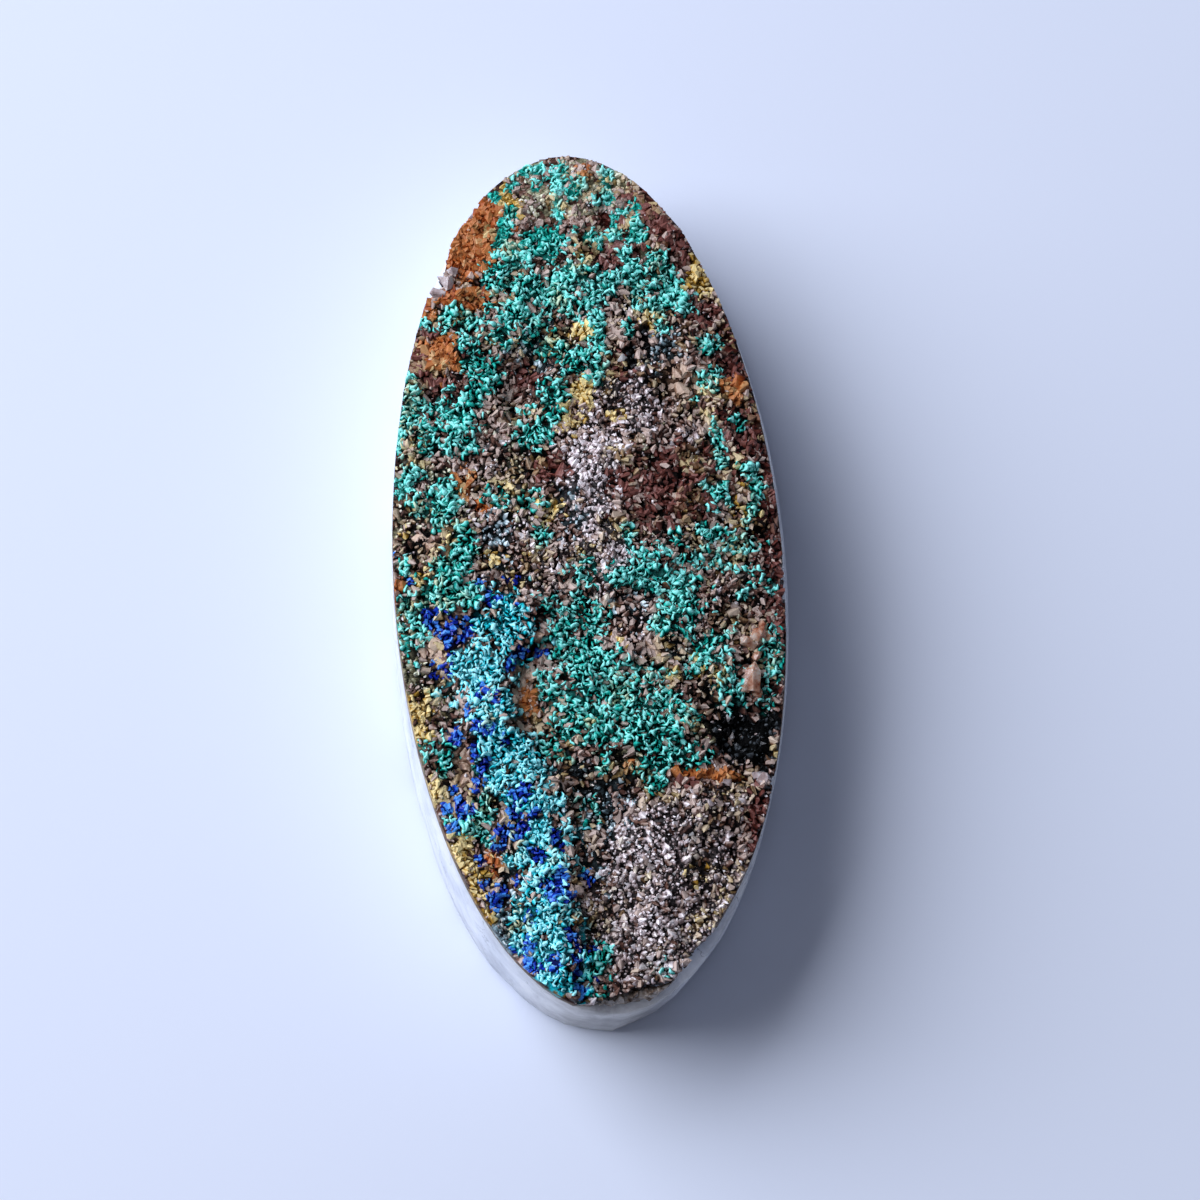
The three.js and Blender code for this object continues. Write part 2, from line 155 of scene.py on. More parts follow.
# %% Nodes
def add_node(material, kind, settings=None, stops=(), **inputs):
    """Adds a node. An input is a value, or another node's output that is linked to it."""
    tree = material.node_tree
    node = tree.nodes.new(kind)
    for name, value in (settings or {}).items():
        setattr(node, name, value)
    if stops:
        elements = node.color_ramp.elements
        while len(elements) < len(stops):
            elements.new(0.5)
        for element, (place, colour) in zip(elements, stops):
            element.position = place
            element.color = linear(colour)
    for name, value in inputs.items():
        socket = node.inputs[int(name[1:])] if name[1:].isdigit() else node.inputs[name.replace("_", " ")]
        if isinstance(value, bpy.types.NodeSocket):
            tree.links.new(value, socket)
        else:
            socket.default_value = value
    return node


def new_material(name, **constants):
    """A material with one Principled shader, its plain numbers set on the shader's own sockets."""
    material = bpy.data.materials.new(name)
    material.use_nodes = True
    shader = material.node_tree.nodes["Principled BSDF"]
    for socket, value in constants.items():
        shader.inputs[socket.replace("_", " ")].default_value = value
    return material, shader


def give(material, shader, socket, output):
    """Links a node's output to a socket of the material's shader."""
    material.node_tree.links.new(output, shader.inputs[socket])


def per_mm(count):
    """A texture scale, in patterns per metre, from how many fit in a millimetre."""
    return count / MM


print("a pattern of 7 to the millimetre has the scale", per_mm(7))

# %% [markdown]
# ## The places of the minerals
# Where each mineral shows was read off the photograph: a middle and two half-widths in pixels of its
# 1200-pixel frame, then the share of crystals there that it covers and how light it is from 0 to 1. A patch
# further down the lists lies over those before it. First come the coats that leave the quartz pale or
# olive.

# %% Pale, grey and olive quartz
OLIVE = [
    (565, 185, 62, 34, 0.8, 0.6), (645, 252, 12, 10, 0.9, 0.4), (625, 180, 14, 10, 0.9, 0.4),
    (412, 640, 24, 70, 0.8, 0.45), (445, 700, 34, 26, 0.7, 0.5), (530, 510, 38, 30, 0.8, 0.5),
    (432, 760, 18, 24, 0.8, 0.5), (615, 765, 44, 26, 0.7, 0.35), (650, 455, 18, 22, 0.7, 0.6),
    (708, 885, 20, 14, 0.7, 0.45), (580, 320, 18, 24, 0.6, 0.5), (470, 520, 22, 16, 0.7, 0.6),
    (543, 785, 16, 28, 0.7, 0.5), (500, 850, 30, 18, 0.5, 0.6), (700, 740, 22, 22, 0.7, 0.5),
    (650, 560, 26, 14, 0.4, 0.5), (405, 530, 14, 30, 0.6, 0.5), (400, 600, 10, 30, 0.7, 0.5),
    (500, 480, 34, 24, 0.45, 0.5), (540, 545, 40, 20, 0.4, 0.55), (480, 560, 24, 30, 0.4, 0.5),
    (690, 420, 30, 24, 0.35, 0.5), (560, 420, 24, 30, 0.4, 0.6), (720, 600, 30, 24, 0.35, 0.5),
    (640, 520, 30, 20, 0.3, 0.5), (590, 780, 50, 30, 0.35, 0.4), (440, 500, 44, 42, 0.75, 0.9),
    (500, 470, 50, 60, 0.5, 0.75), (620, 600, 60, 40, 0.35, 0.6), (430, 600, 40, 60, 0.5, 0.6),
    (470, 700, 14, 30, 0.4, 0.5), (715, 720, 16, 26, 0.5, 0.5),
]
SUGAR = [
    (590, 470, 34, 62, 0.95, 0.86), (625, 400, 38, 38, 0.85, 0.6), (604, 545, 26, 34, 0.9, 0.75),
    (560, 560, 34, 28, 0.6, 0.45), (655, 860, 74, 62, 0.9, 0.64), (630, 930, 72, 56, 0.9, 0.6),
    (700, 850, 40, 54, 0.8, 0.5), (685, 450, 28, 30, 0.6, 0.5), (600, 600, 42, 20, 0.6, 0.5),
    (520, 590, 24, 16, 0.5, 0.4), (632, 310, 20, 20, 0.7, 0.35), (735, 560, 34, 44, 0.35, 0.7),
    (725, 800, 26, 24, 0.6, 0.45), (605, 640, 20, 24, 0.4, 0.4), (700, 930, 26, 40, 0.8, 0.5),
    (735, 880, 18, 26, 0.6, 0.45), (515, 520, 46, 60, 0.45, 0.6), (560, 590, 60, 26, 0.4, 0.5),
    (500, 590, 40, 24, 0.35, 0.55),
]
GREY = [
    (530, 360, 28, 46, 0.9, 0.5), (472, 272, 8, 11, 1, 0.5), (498, 548, 16, 36, 0.9, 0.4),
    (575, 620, 36, 30, 0.6, 0.5), (665, 345, 24, 26, 0.8, 0.6), (567, 515, 14, 24, 0.7, 0.55),
    (590, 800, 34, 44, 0.8, 0.5), (556, 760, 22, 24, 0.6, 0.55), (510, 885, 14, 22, 0.8, 0.55),
    (508, 932, 22, 32, 0.95, 0.65), (640, 600, 30, 24, 0.6, 0.5), (680, 645, 26, 24, 0.7, 0.45),
    (725, 650, 20, 22, 0.5, 0.5), (640, 655, 26, 20, 0.4, 0.6), (595, 850, 14, 30, 0.6, 0.45),
    (470, 285, 14, 8, 0.6, 0.5),
]
print("patches of pale, grey and olive quartz:", len(OLIVE) + len(SUGAR) + len(GREY))

# %% [markdown]
# ## Iron and the hollows
# Iron stains the crust in four ways: tan where it is worn, red-brown as hematite, orange as goethite and
# yellow as powdery limonite. In the hollows the crystals are nearly black: partly a dark coat, partly
# painted shade of the hollows.

# %% Iron-stained and dark patches
TAN = [
    (526, 703, 15, 42, 1, 0.85), (549, 712, 8, 17, 1, 0.6), (436, 648, 13, 14, 1, 0.45),
    (464, 760, 13, 16, 1, 0.35), (460, 781, 16, 6, 1, 0.5), (545, 786, 8, 18, 0.8, 0.5),
    (685, 372, 17, 14, 1, 0.35), (675, 388, 14, 10, 0.9, 0.5), (455, 612, 12, 10, 0.9, 0.7),
    (435, 545, 20, 16, 0.6, 0.6), (540, 640, 8, 14, 0.9, 0.4), (655, 648, 8, 10, 0.8, 0.4),
]
REDBROWN = [
    (774, 500, 18, 150, 0.85, 0.45), (738, 370, 24, 62, 0.9, 0.4), (660, 215, 32, 36, 0.9, 0.5),
    (612, 246, 28, 36, 0.9, 0.55), (672, 490, 46, 34, 0.95, 0.42), (525, 382, 14, 17, 0.9, 0.6),
    (757, 828, 9, 38, 1, 0.35), (745, 440, 28, 36, 0.8, 0.5), (550, 468, 18, 13, 0.9, 0.6),
    (620, 362, 11, 13, 0.8, 0.5), (702, 312, 30, 18, 0.8, 0.5), (784, 640, 8, 60, 0.9, 0.4),
    (690, 250, 14, 30, 0.8, 0.4), (436, 362, 26, 36, 0.95, 0.85), (640, 480, 26, 26, 0.6, 0.65),
    (690, 780, 16, 8, 0.9, 0.5), (760, 760, 14, 8, 0.8, 0.4),
]
RUST = [
    (470, 250, 36, 40, 1, 0.6), (487, 212, 16, 20, 1, 0.5), (455, 300, 44, 14, 1, 0.4),
    (444, 356, 16, 22, 1, 0.7), (528, 705, 9, 26, 0.6, 0.8), (586, 172, 8, 8, 0.9, 0.7),
    (734, 392, 12, 14, 1, 0.65), (462, 485, 10, 20, 0.7, 0.75), (535, 687, 5, 9, 1, 0.85),
    (708, 776, 34, 7, 1, 0.7), (632, 768, 5, 6, 0.8, 0.85), (495, 860, 8, 14, 0.7, 0.6),
    (432, 310, 8, 14, 1, 0.7), (452, 232, 10, 18, 0.8, 0.9), (482, 508, 6, 8, 0.8, 0.4),
    (398, 590, 8, 20, 0.6, 0.6),
]
OCHRE = [
    (506, 197, 9, 17, 1, 0.55), (517, 209, 5, 13, 0.8, 0.5), (698, 281, 13, 19, 1, 0.55),
    (676, 291, 12, 4, 1, 0.85), (585, 331, 10, 10, 1, 0.7), (583, 392, 10, 15, 1, 0.65),
    (563, 418, 13, 18, 0.7, 0.8), (546, 515, 13, 15, 0.6, 0.7), (565, 715, 8, 8, 1, 0.4),
    (418, 580, 10, 9, 1, 0.65), (415, 714, 13, 18, 0.9, 0.7), (425, 733, 10, 10, 0.9, 0.85),
    (434, 787, 10, 18, 0.8, 0.85), (460, 850, 17, 18, 1, 0.75), (475, 880, 12, 28, 0.9, 0.6),
    (486, 915, 8, 18, 0.9, 0.5), (700, 665, 9, 14, 1, 0.5), (675, 675, 6, 6, 1, 0.5),
    (557, 992, 11, 8, 1, 0.25), (614, 646, 12, 14, 0.5, 0.6), (742, 508, 14, 22, 0.4, 0.5),
    (648, 325, 7, 12, 0.7, 0.6), (690, 590, 12, 12, 0.5, 0.5), (450, 545, 10, 8, 0.6, 0.8),
    (700, 880, 12, 10, 0.15, 0.4), (615, 415, 9, 8, 0.6, 0.6), (410, 545, 8, 22, 0.35, 0.6),
    (500, 560, 26, 8, 0.25, 0.7),
]
# the near-black patches lie in hollows and valleys: partly a dark coat, partly painted shade there
BLACK = [
    (750, 733, 34, 38, 1, 0.3), (762, 752, 18, 18, 1, 0.2), (728, 752, 16, 18, 0.9, 0.3),
    (580, 605, 30, 22, 0.3, 0.3), (645, 340, 5, 15, 1, 0.2), (630, 352, 5, 11, 1, 0.2),
    (414, 551, 8, 9, 0.9, 0.4), (620, 612, 22, 20, 0.3, 0.3), (535, 384, 16, 30, 0.2, 0.3),
    (710, 690, 30, 20, 0.4, 0.3), (585, 780, 18, 30, 0.4, 0.25), (755, 690, 22, 30, 0.5, 0.3),
    (535, 310, 14, 16, 0.3, 0.2),
]
print("patches of iron-stained and dark quartz:", len(TAN + REDBROWN + RUST + OCHRE + BLACK))

# %% [markdown]
# ## Turquoise coat
# Chrysocolla and malachite lie over the iron-stained quartz as a turquoise coat of many small patches.

# %% Turquoise patches
TURQUOISE = [
    (543, 171, 9, 8, 1, 0.7), (522, 172, 7, 6, 0.9, 0.5), (514, 187, 6, 8, 0.8, 0.5),
    (534, 187, 6, 7, 0.8, 0.4), (556, 187, 6, 12, 1, 0.75), (562, 166, 6, 7, 0.8, 0.5),
    (576, 189, 9, 10, 0.9, 0.6), (558, 215, 5, 17, 1, 0.85), (495, 197, 7, 6, 0.9, 0.45),
    (510, 214, 7, 8, 0.8, 0.35), (504, 230, 7, 12, 1, 0.45), (605, 176, 8, 9, 1, 0.75),
    (595, 200, 9, 6, 1, 0.65), (607, 197, 5, 9, 1, 0.6), (619, 216, 7, 7, 1, 0.6),
    (636, 214, 5, 12, 0.9, 0.45), (617, 234, 7, 11, 1, 0.65), (636, 237, 11, 9, 1, 0.5),
    (625, 251, 6, 14, 1, 0.75), (634, 270, 11, 11, 1, 0.7), (657, 263, 11, 14, 0.95, 0.5),
    (671, 281, 10, 10, 1, 0.45), (648, 290, 12, 9, 0.9, 0.7), (594, 238, 8, 9, 0.9, 0.6),
    (608, 285, 12, 13, 1, 0.75), (572, 232, 6, 8, 0.9, 0.5), (548, 245, 24, 16, 1, 0.35),
    (572, 275, 20, 16, 0.9, 0.7), (520, 262, 15, 15, 0.95, 0.65), (505, 250, 10, 14, 0.9, 0.4),
    (500, 280, 18, 17, 0.85, 0.5), (530, 290, 24, 20, 0.9, 0.6), (560, 290, 18, 16, 0.95, 0.65),
    (590, 292, 16, 14, 1, 0.85), (585, 310, 20, 14, 0.7, 0.7), (598, 335, 7, 40, 0.9, 0.8),
    (592, 365, 8, 12, 0.9, 0.65), (515, 318, 22, 20, 0.85, 0.5), (470, 322, 13, 10, 1, 0.35),
    (448, 320, 10, 12, 0.9, 0.55), (428, 328, 8, 5, 0.6, 0.7), (465, 342, 8, 9, 0.7, 0.75),
    (475, 362, 10, 13, 0.8, 0.5), (488, 375, 15, 17, 0.85, 0.45), (482, 390, 13, 12, 0.8, 0.5),
    (500, 330, 14, 14, 0.7, 0.5), (553, 350, 12, 12, 0.8, 0.55), (574, 362, 12, 14, 0.85, 0.3),
    (552, 402, 13, 20, 0.95, 0.5), (536, 435, 18, 12, 0.9, 0.5), (526, 408, 7, 10, 0.5, 0.4),
    (668, 300, 22, 16, 0.95, 0.7), (640, 300, 10, 14, 0.8, 0.75), (683, 308, 12, 8, 1, 0.7),
    (664, 325, 7, 12, 0.8, 0.8), (628, 334, 6, 12, 1, 0.4), (706, 347, 13, 10, 0.85, 0.55),
    (711, 376, 10, 9, 0.8, 0.7), (708, 390, 10, 8, 0.8, 0.65), (696, 399, 7, 7, 0.8, 0.6),
    (737, 425, 8, 8, 0.9, 0.55), (717, 430, 6, 8, 1, 0.6), (719, 448, 5, 16, 1, 0.6),
    (722, 465, 6, 8, 0.8, 0.7), (747, 468, 10, 5, 1, 0.8), (752, 476, 6, 5, 1, 0.8),
    (757, 490, 7, 14, 1, 0.7), (753, 510, 5, 8, 0.9, 0.8), (748, 522, 5, 6, 0.9, 0.9),
    (720, 492, 8, 7, 0.9, 0.6), (706, 487, 7, 5, 0.8, 0.7), (716, 510, 6, 8, 0.7, 0.75),
    (728, 503, 5, 5, 0.7, 0.7), (712, 532, 14, 9, 1, 0.55), (735, 545, 12, 10, 0.7, 0.75),
    (678, 540, 8, 8, 0.7, 0.4), (628, 535, 6, 9, 0.7, 0.6), (650, 570, 14, 20, 0.85, 0.7),
    (630, 580, 16, 9, 0.9, 0.75), (675, 580, 18, 14, 0.85, 0.7), (610, 572, 9, 8, 0.6, 0.6),
    (690, 560, 30, 12, 0.5, 0.7), (730, 565, 20, 12, 0.4, 0.7), (758, 550, 14, 10, 0.3, 0.9),
    (410, 410, 14, 28, 0.95, 0.7), (398, 430, 8, 20, 0.9, 0.7), (458, 420, 20, 22, 0.95, 0.6),
    (430, 440, 17, 14, 0.9, 0.45), (455, 448, 20, 12, 0.9, 0.55), (410, 485, 14, 14, 0.95, 0.8),
    (418, 507, 12, 10, 0.95, 0.75), (445, 500, 13, 22, 0.95, 0.75), (438, 522, 9, 10, 0.9, 0.5),
    (462, 560, 12, 24, 1, 0.4), (450, 570, 14, 14, 1, 0.35), (404, 566, 7, 9, 0.9, 0.7),
    (541, 536, 9, 8, 0.9, 0.4), (532, 500, 14, 12, 0.5, 0.35), (500, 495, 12, 10, 0.5, 0.5),
    (568, 572, 10, 8, 0.5, 0.7), (588, 575, 8, 12, 0.6, 0.6), (415, 620, 16, 32, 0.55, 0.65),
    (680, 600, 20, 26, 0.9, 0.65), (665, 625, 12, 10, 0.85, 0.7), (690, 625, 10, 10, 0.8, 0.6),
    (745, 592, 9, 9, 0.9, 0.8), (770, 588, 8, 8, 0.5, 0.8), (712, 650, 12, 16, 0.9, 0.6),
    (728, 632, 10, 8, 0.6, 0.7), (735, 680, 12, 18, 0.8, 0.65), (742, 695, 8, 10, 0.9, 0.75),
    (725, 690, 8, 14, 0.8, 0.7), (772, 660, 10, 26, 0.85, 0.35), (762, 700, 8, 12, 0.7, 0.45),
    (640, 672, 24, 12, 0.6, 0.7), (635, 690, 24, 12, 0.8, 0.5), (692, 670, 8, 8, 0.7, 0.5),
    (570, 640, 32, 34, 0.85, 0.55), (590, 672, 26, 36, 0.95, 0.45), (610, 700, 34, 26, 0.95, 0.5),
    (640, 720, 30, 26, 0.9, 0.55), (580, 720, 30, 26, 0.85, 0.5), (670, 715, 20, 24, 0.8, 0.5),
    (552, 690, 14, 20, 0.85, 0.6), (665, 745, 20, 18, 0.9, 0.5), (600, 735, 26, 14, 0.8, 0.5),
    (550, 750, 20, 14, 0.7, 0.4), (690, 755, 14, 14, 0.6, 0.5), (655, 770, 14, 16, 0.8, 0.35),
    (655, 786, 9, 10, 1, 0.4), (600, 765, 10, 9, 0.6, 0.5), (590, 815, 10, 14, 0.4, 0.3),
    (545, 600, 14, 10, 0.7, 0.5), (560, 615, 14, 20, 0.8, 0.5), (597, 965, 13, 22, 0.95, 0.35),
    (662, 965, 9, 9, 0.12, 0.5), (438, 755, 16, 18, 0.6, 0.6), (440, 770, 12, 8, 0.9, 0.5),
    (475, 820, 18, 14, 0.9, 0.4), (490, 835, 16, 10, 0.8, 0.45), (480, 800, 14, 8, 0.7, 0.5),
    (455, 820, 10, 16, 0.7, 0.6), (485, 775, 12, 14, 0.7, 0.6), (445, 592, 22, 17, 1, 0.4),
    (470, 598, 13, 16, 1, 0.55),
]
print("patches of turquoise:", len(TURQUOISE))

# %% [markdown]
# ## The pale band and the azurite beside it
# Down the lower left runs a raised band of pale malachite, with the deep blue azurite along its sides.

# %% Band and azurite patches
BAND = [
    (503, 628, 28, 30, 1, 0.5), (480, 675, 27, 30, 1, 0.8), (488, 712, 22, 20, 1, 0.7),
    (505, 745, 26, 20, 1, 0.6), (515, 775, 26, 16, 1, 0.75), (530, 800, 24, 20, 1, 0.7),
    (540, 835, 26, 24, 1, 0.7), (550, 875, 24, 26, 1, 0.65), (550, 915, 26, 26, 1, 0.7),
    (552, 950, 26, 22, 1, 0.7), (560, 980, 22, 16, 1, 0.6), (520, 860, 14, 12, 1, 0.8),
    (525, 935, 12, 24, 1, 0.7),
]
AZURITE = [
    (433, 616, 5, 7.6, 1, 0.5), (451, 633, 5.9, 13.4, 1, 0.15), (440, 632, 4.2, 5.9, 1, 0.15),
    (467, 625, 5, 8.4, 0.9, 0.4), (459, 640, 5, 6.7, 0.7, 0.5), (436, 667, 4.2, 5, 1, 0.4),
    (487, 600, 2.5, 10.1, 0.8, 0.15), (500, 598, 3.4, 2.5, 0.7, 0.2), (515, 604, 4.2, 2.5, 0.8, 0.2),
    (520, 648, 5.9, 7.6, 1, 0.4), (510, 664, 5, 6.7, 0.7, 0.5), (484, 692, 5, 7.6, 0.9, 0.25),
    (497, 700, 4.2, 5.9, 0.8, 0.35), (469, 710, 4.2, 5, 0.8, 0.3), (487, 728, 6.7, 5.9, 0.8, 0.5),
    (475, 725, 4.2, 5, 0.9, 0.4), (458, 738, 5.9, 5.9, 1, 0.6), (474, 750, 5, 7.6, 0.9, 0.25),
    (484, 765, 5, 5, 0.9, 0.35), (505, 743, 5, 5, 0.9, 0.1), (480, 783, 5, 5, 0.8, 0.3),
    (453, 790, 4.2, 4.2, 1, 0.8), (474, 793, 4.2, 5, 0.7, 0.3), (446, 808, 4.2, 5.9, 0.9, 0.5),
    (458, 812, 5.9, 10.1, 1, 0.4), (454, 828, 5.9, 5.9, 1, 0.5), (512, 816, 6.7, 7.6, 1, 0.5),
    (505, 828, 5, 5, 0.8, 0.5), (523, 828, 5.9, 9.2, 1, 0.15), (533, 815, 6.7, 5.9, 1, 0.25),
    (525, 790, 6.7, 8.4, 0.9, 0.35), (515, 795, 4.2, 5, 0.8, 0.6), (502, 846, 7.6, 5, 1, 0.6),
    (512, 838, 5, 5, 0.8, 0.5), (540, 857, 6.7, 7.6, 1, 0.15), (556, 838, 5, 9.2, 0.9, 0.3),
    (562, 848, 4.2, 5.9, 0.8, 0.3), (478, 857, 4.2, 4.2, 1, 0.3), (484, 884, 5, 4.2, 1, 0.35),
    (497, 900, 7.6, 7.6, 1, 0.3), (506, 893, 4.2, 5, 0.9, 0.35), (518, 880, 5, 6.7, 0.6, 0.4),
    (546, 885, 5.9, 6.7, 0.9, 0.3), (560, 880, 6.7, 8.4, 1, 0.5), (553, 895, 5.9, 5.9, 0.9, 0.5),
    (571, 893, 4.2, 6.7, 0.8, 0.45), (533, 915, 6.7, 6.7, 0.5, 0.7), (571, 935, 5, 9.2, 1, 0.45),
    (576, 945, 4.2, 5.9, 0.9, 0.5), (531, 948, 5.9, 5.9, 0.9, 0.55), (527, 965, 7.6, 5.9, 1, 0.55),
    (536, 970, 5.9, 5.9, 0.8, 0.1), (555, 960, 6.7, 6.7, 0.8, 0.4), (556, 970, 4.2, 5, 0.9, 0.2),
    (575, 970, 4.2, 11.8, 0.9, 0.3), (580, 992, 5, 5, 1, 0.75), (392, 553, 4.2, 4.2, 0.9, 0.5),
    (408, 582, 4.2, 3.4, 0.8, 0.4), (480, 582, 3.4, 2.5, 0.6, 0.5), (597, 980, 5, 3.4, 0.8, 0.3),
]
LAYERS = [
    ("olive", OLIVE), ("sugar", SUGAR), ("grey", GREY), ("tan", TAN), ("redbrown", REDBROWN), ("rust", RUST),
    ("ochre", OCHRE), ("black", BLACK), ("turquoise", TURQUOISE), ("band", BAND), ("azurite", AZURITE),
]
MINERALS = ["brown"] + [name for name, patches in LAYERS]
print("patches in all:", sum(len(patches) for name, patches in LAYERS))

# %% [markdown]
# ## Working on copies
# A CAD node's mesh is loose triangles and is never changed. Where its shape is needed, its mesh is copied
# and the copy's doubled corners are merged. The helpers read and select corners by their place.

# %% Copies of CAD nodes
MERGE_DISTANCE = 0.002 * MM


def only(piece):
    """Selects one object and makes it the active one."""
    bpy.ops.object.select_all(action="DESELECT")
    piece.select_set(True)
    bpy.context.view_layer.objects.active = piece


def copy_of(node, name):
    """A copy of a CAD node's mesh as a new piece, with its loose triangles merged."""
    piece = bpy.data.objects.new(name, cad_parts[node].data.copy())
    piece.data.materials.clear()
    bpy.context.collection.objects.link(piece)
    only(piece)
    bpy.ops.object.mode_set(mode="EDIT")
    bpy.ops.mesh.select_all(action="SELECT")
    bpy.ops.mesh.remove_doubles(threshold=MERGE_DISTANCE)
    bpy.ops.object.mode_set(mode="OBJECT")
    return piece


def corners_of(piece):
    """The vertex places of a piece, as an array in metres."""
    places = np.empty(len(piece.data.vertices) * 3)
    piece.data.vertices.foreach_get("co", places)
    return places.reshape(-1, 3)


def edges_of(piece):
    """The two vertices of each edge of a piece, as an array."""
    pairs = np.empty(len(piece.data.edges) * 2, int)
    piece.data.edges.foreach_get("vertices", pairs)
    return pairs.reshape(-1, 2)


def select_vertices(piece, chosen):
    """Selects vertices by a list of true and false, and what lies between them."""
    only(piece)
    bpy.ops.object.mode_set(mode="EDIT")
    bpy.ops.mesh.select_all(action="DESELECT")
    bpy.ops.mesh.select_mode(type="VERT")
    bpy.ops.object.mode_set(mode="OBJECT")
    piece.data.vertices.foreach_set("select", np.asarray(chosen, bool))
    bpy.ops.object.mode_set(mode="EDIT")
    bpy.ops.mesh.select_mode(type="VERT")


print("CAD nodes to work from:", len(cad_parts))

# %% [markdown]
# ## The ground without its crystals
# The CAD crust has a three-sided crystal on each cell of its mesh. Finer crystals will stand here, so the
# tip of each is dissolved, and the lie of the crust is left.

# %% Dissolving the crystals
TIP_RISE = 0.05 * MM


def without_crystals(piece):
    """Dissolves the tip of each three-sided crystal, which leaves the lie of the mesh under it."""
    places = corners_of(piece)
    pairs = edges_of(piece)
    count = np.bincount(pairs.ravel(), minlength=len(places))
    around = np.zeros(len(places))
    np.add.at(around, pairs[:, 0], places[pairs[:, 1], 2])
    np.add.at(around, pairs[:, 1], places[pairs[:, 0], 2])
    tips = (count == 3) & (places[:, 2] > around / count + TIP_RISE)
    select_vertices(piece, tips)
    bpy.ops.mesh.dissolve_verts()
    bpy.ops.object.mode_set(mode="OBJECT")
    return int(tips.sum())


print("a tip stands", TIP_RISE / MM, "mm over its neighbours")

# %% [markdown]
# ## The oval of the face
# The crust ends in an oval that is turned a little against the ground body. Most of what follows asks how
# far out a place lies on that oval. At the lower right the crust is worn back from the body's edge, so it
# ends sooner.

# %% The face
FACE_TURN = math.radians(2.9)
FACE_MIDDLE = Vector((-0.25, -0.25)) * MM
FACE_HALF_WIDTH = 8.6 * MM
FACE_HALF_LENGTH = 19.65 * MM
BODY_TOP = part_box("quartz_body")[1].z
WORN_WAY = math.radians(-57)
WORN_SPREAD = math.radians(20)
WORN_BACK = 0.026
WORN_END = 1.35
WORN_FROM, WORN_OVER = 0.75, 0.2


def face_reach(x, y):
    """How far out a place lies on the oval face: 0 in the middle, 1 at its edge."""
    dx, dy = x - FACE_MIDDLE.x, y - FACE_MIDDLE.y
    across = dx * math.cos(FACE_TURN) + dy * math.sin(FACE_TURN)
    along = dy * math.cos(FACE_TURN) - dx * math.sin(FACE_TURN)
    return np.hypot(across / FACE_HALF_WIDTH, along / FACE_HALF_LENGTH)


def rim_limit(x, y):
    """How far out the crust reaches: 1 all round, and less where it is worn back from the body's edge."""
    dx, dy = x - FACE_MIDDLE.x, y - FACE_MIDDLE.y
    way = np.arctan2(dy / FACE_HALF_LENGTH, dx / FACE_HALF_WIDTH)
    worn = np.clip(WORN_END - np.abs(way - WORN_WAY) / WORN_SPREAD, 0, 1)
    return 1 - WORN_BACK * worn


def wear_rim(piece):
    """Draws the edge of a piece in to the worn rim."""
    places = corners_of(piece)
    reach = face_reach(places[:, 0], places[:, 1])
    limit = rim_limit(places[:, 0], places[:, 1])
    share = 1 - (1 - limit) * np.clip((reach - WORN_FROM) / WORN_OVER, 0, 1)
    middle = np.array([FACE_MIDDLE.x, FACE_MIDDLE.y])
    places[:, :2] = middle + (places[:, :2] - middle) * share[:, None]
    piece.data.vertices.foreach_set("co", places.ravel())
    piece.data.update()


print("face in mm:", round(2 * FACE_HALF_WIDTH / MM, 1), "by", round(2 * FACE_HALF_LENGTH / MM, 1))

# %% [markdown]
# ## Roughening the ground
# Under its crystals the real crust is a lumpy sheet of quartz. The copy's upper side is subdivided, then
# two Displace modifiers move it by procedural textures: soft lumps about a millimetre wide, and finer ones
# under half a millimetre. A vertex group keeps the rim in place, so that the ground still meets the body.

# %% Roughening
COARSE_LUMP, COARSE_HEIGHT = 1.1 * MM, 0.6 * MM
FINE_LUMP, FINE_HEIGHT = 0.35 * MM, 0.3 * MM
CUTS = 6
CUT_ROUNDING = 0.35
UPPER_SIDE_FROM = 0.1 * MM
ROUGH_FROM = 0.15 * MM
ROUGH_REACH, ROUGH_FADE = 0.985, 0.06


def lump_texture(name, size):
    """A cloudy procedural texture whose lumps are about the given size."""
    texture = bpy.data.textures.new(name, "CLOUDS")
    texture.noise_scale = size
    texture.noise_depth = 2
    return texture


def roughen(piece, group, texture, height):
    """Moves a piece's surface up and down by a texture, within a vertex group."""
    only(piece)
    modifier = piece.modifiers.new(texture.name, "DISPLACE")
    modifier.texture = texture
    modifier.texture_coords = "LOCAL"
    modifier.direction = "Z"
    modifier.mid_level = 0.5
    modifier.strength = height
    modifier.vertex_group = group
    bpy.ops.object.modifier_apply(modifier=modifier.name)


def rough_group(piece):
    """A vertex group that is full on the upper side and fades out toward the rim."""
    places = corners_of(piece)
    inside = np.clip((ROUGH_REACH - face_reach(places[:, 0], places[:, 1])) / ROUGH_FADE, 0, 1)
    weight = np.round(inside * (places[:, 2] > BODY_TOP + ROUGH_FROM), 1)
    group = piece.vertex_groups.new(name="rough")
    for step in np.unique(weight[weight > 0]):
        group.add(np.flatnonzero(weight == step).tolist(), float(step), "REPLACE")
    return group.name


def rough_ground(node, name):
    """The upper side of a CAD node without its crystals, subdivided and roughened."""
    piece = copy_of(node, name)
    tips = without_crystals(piece)
    select_vertices(piece, corners_of(piece)[:, 2] > BODY_TOP + UPPER_SIDE_FROM)
    bpy.ops.mesh.subdivide(number_cuts=CUTS, smoothness=CUT_ROUNDING)
    bpy.ops.mesh.select_all(action="SELECT")
    bpy.ops.mesh.quads_convert_to_tris()
    bpy.ops.object.mode_set(mode="OBJECT")
    group = rough_group(piece)
    roughen(piece, group, COARSE_LUMPS, COARSE_HEIGHT)
    roughen(piece, group, FINE_LUMPS, FINE_HEIGHT)
    wear_rim(piece)
    print(name, "crystal tips dissolved:", tips, "faces:", len(piece.data.polygons))
    return piece


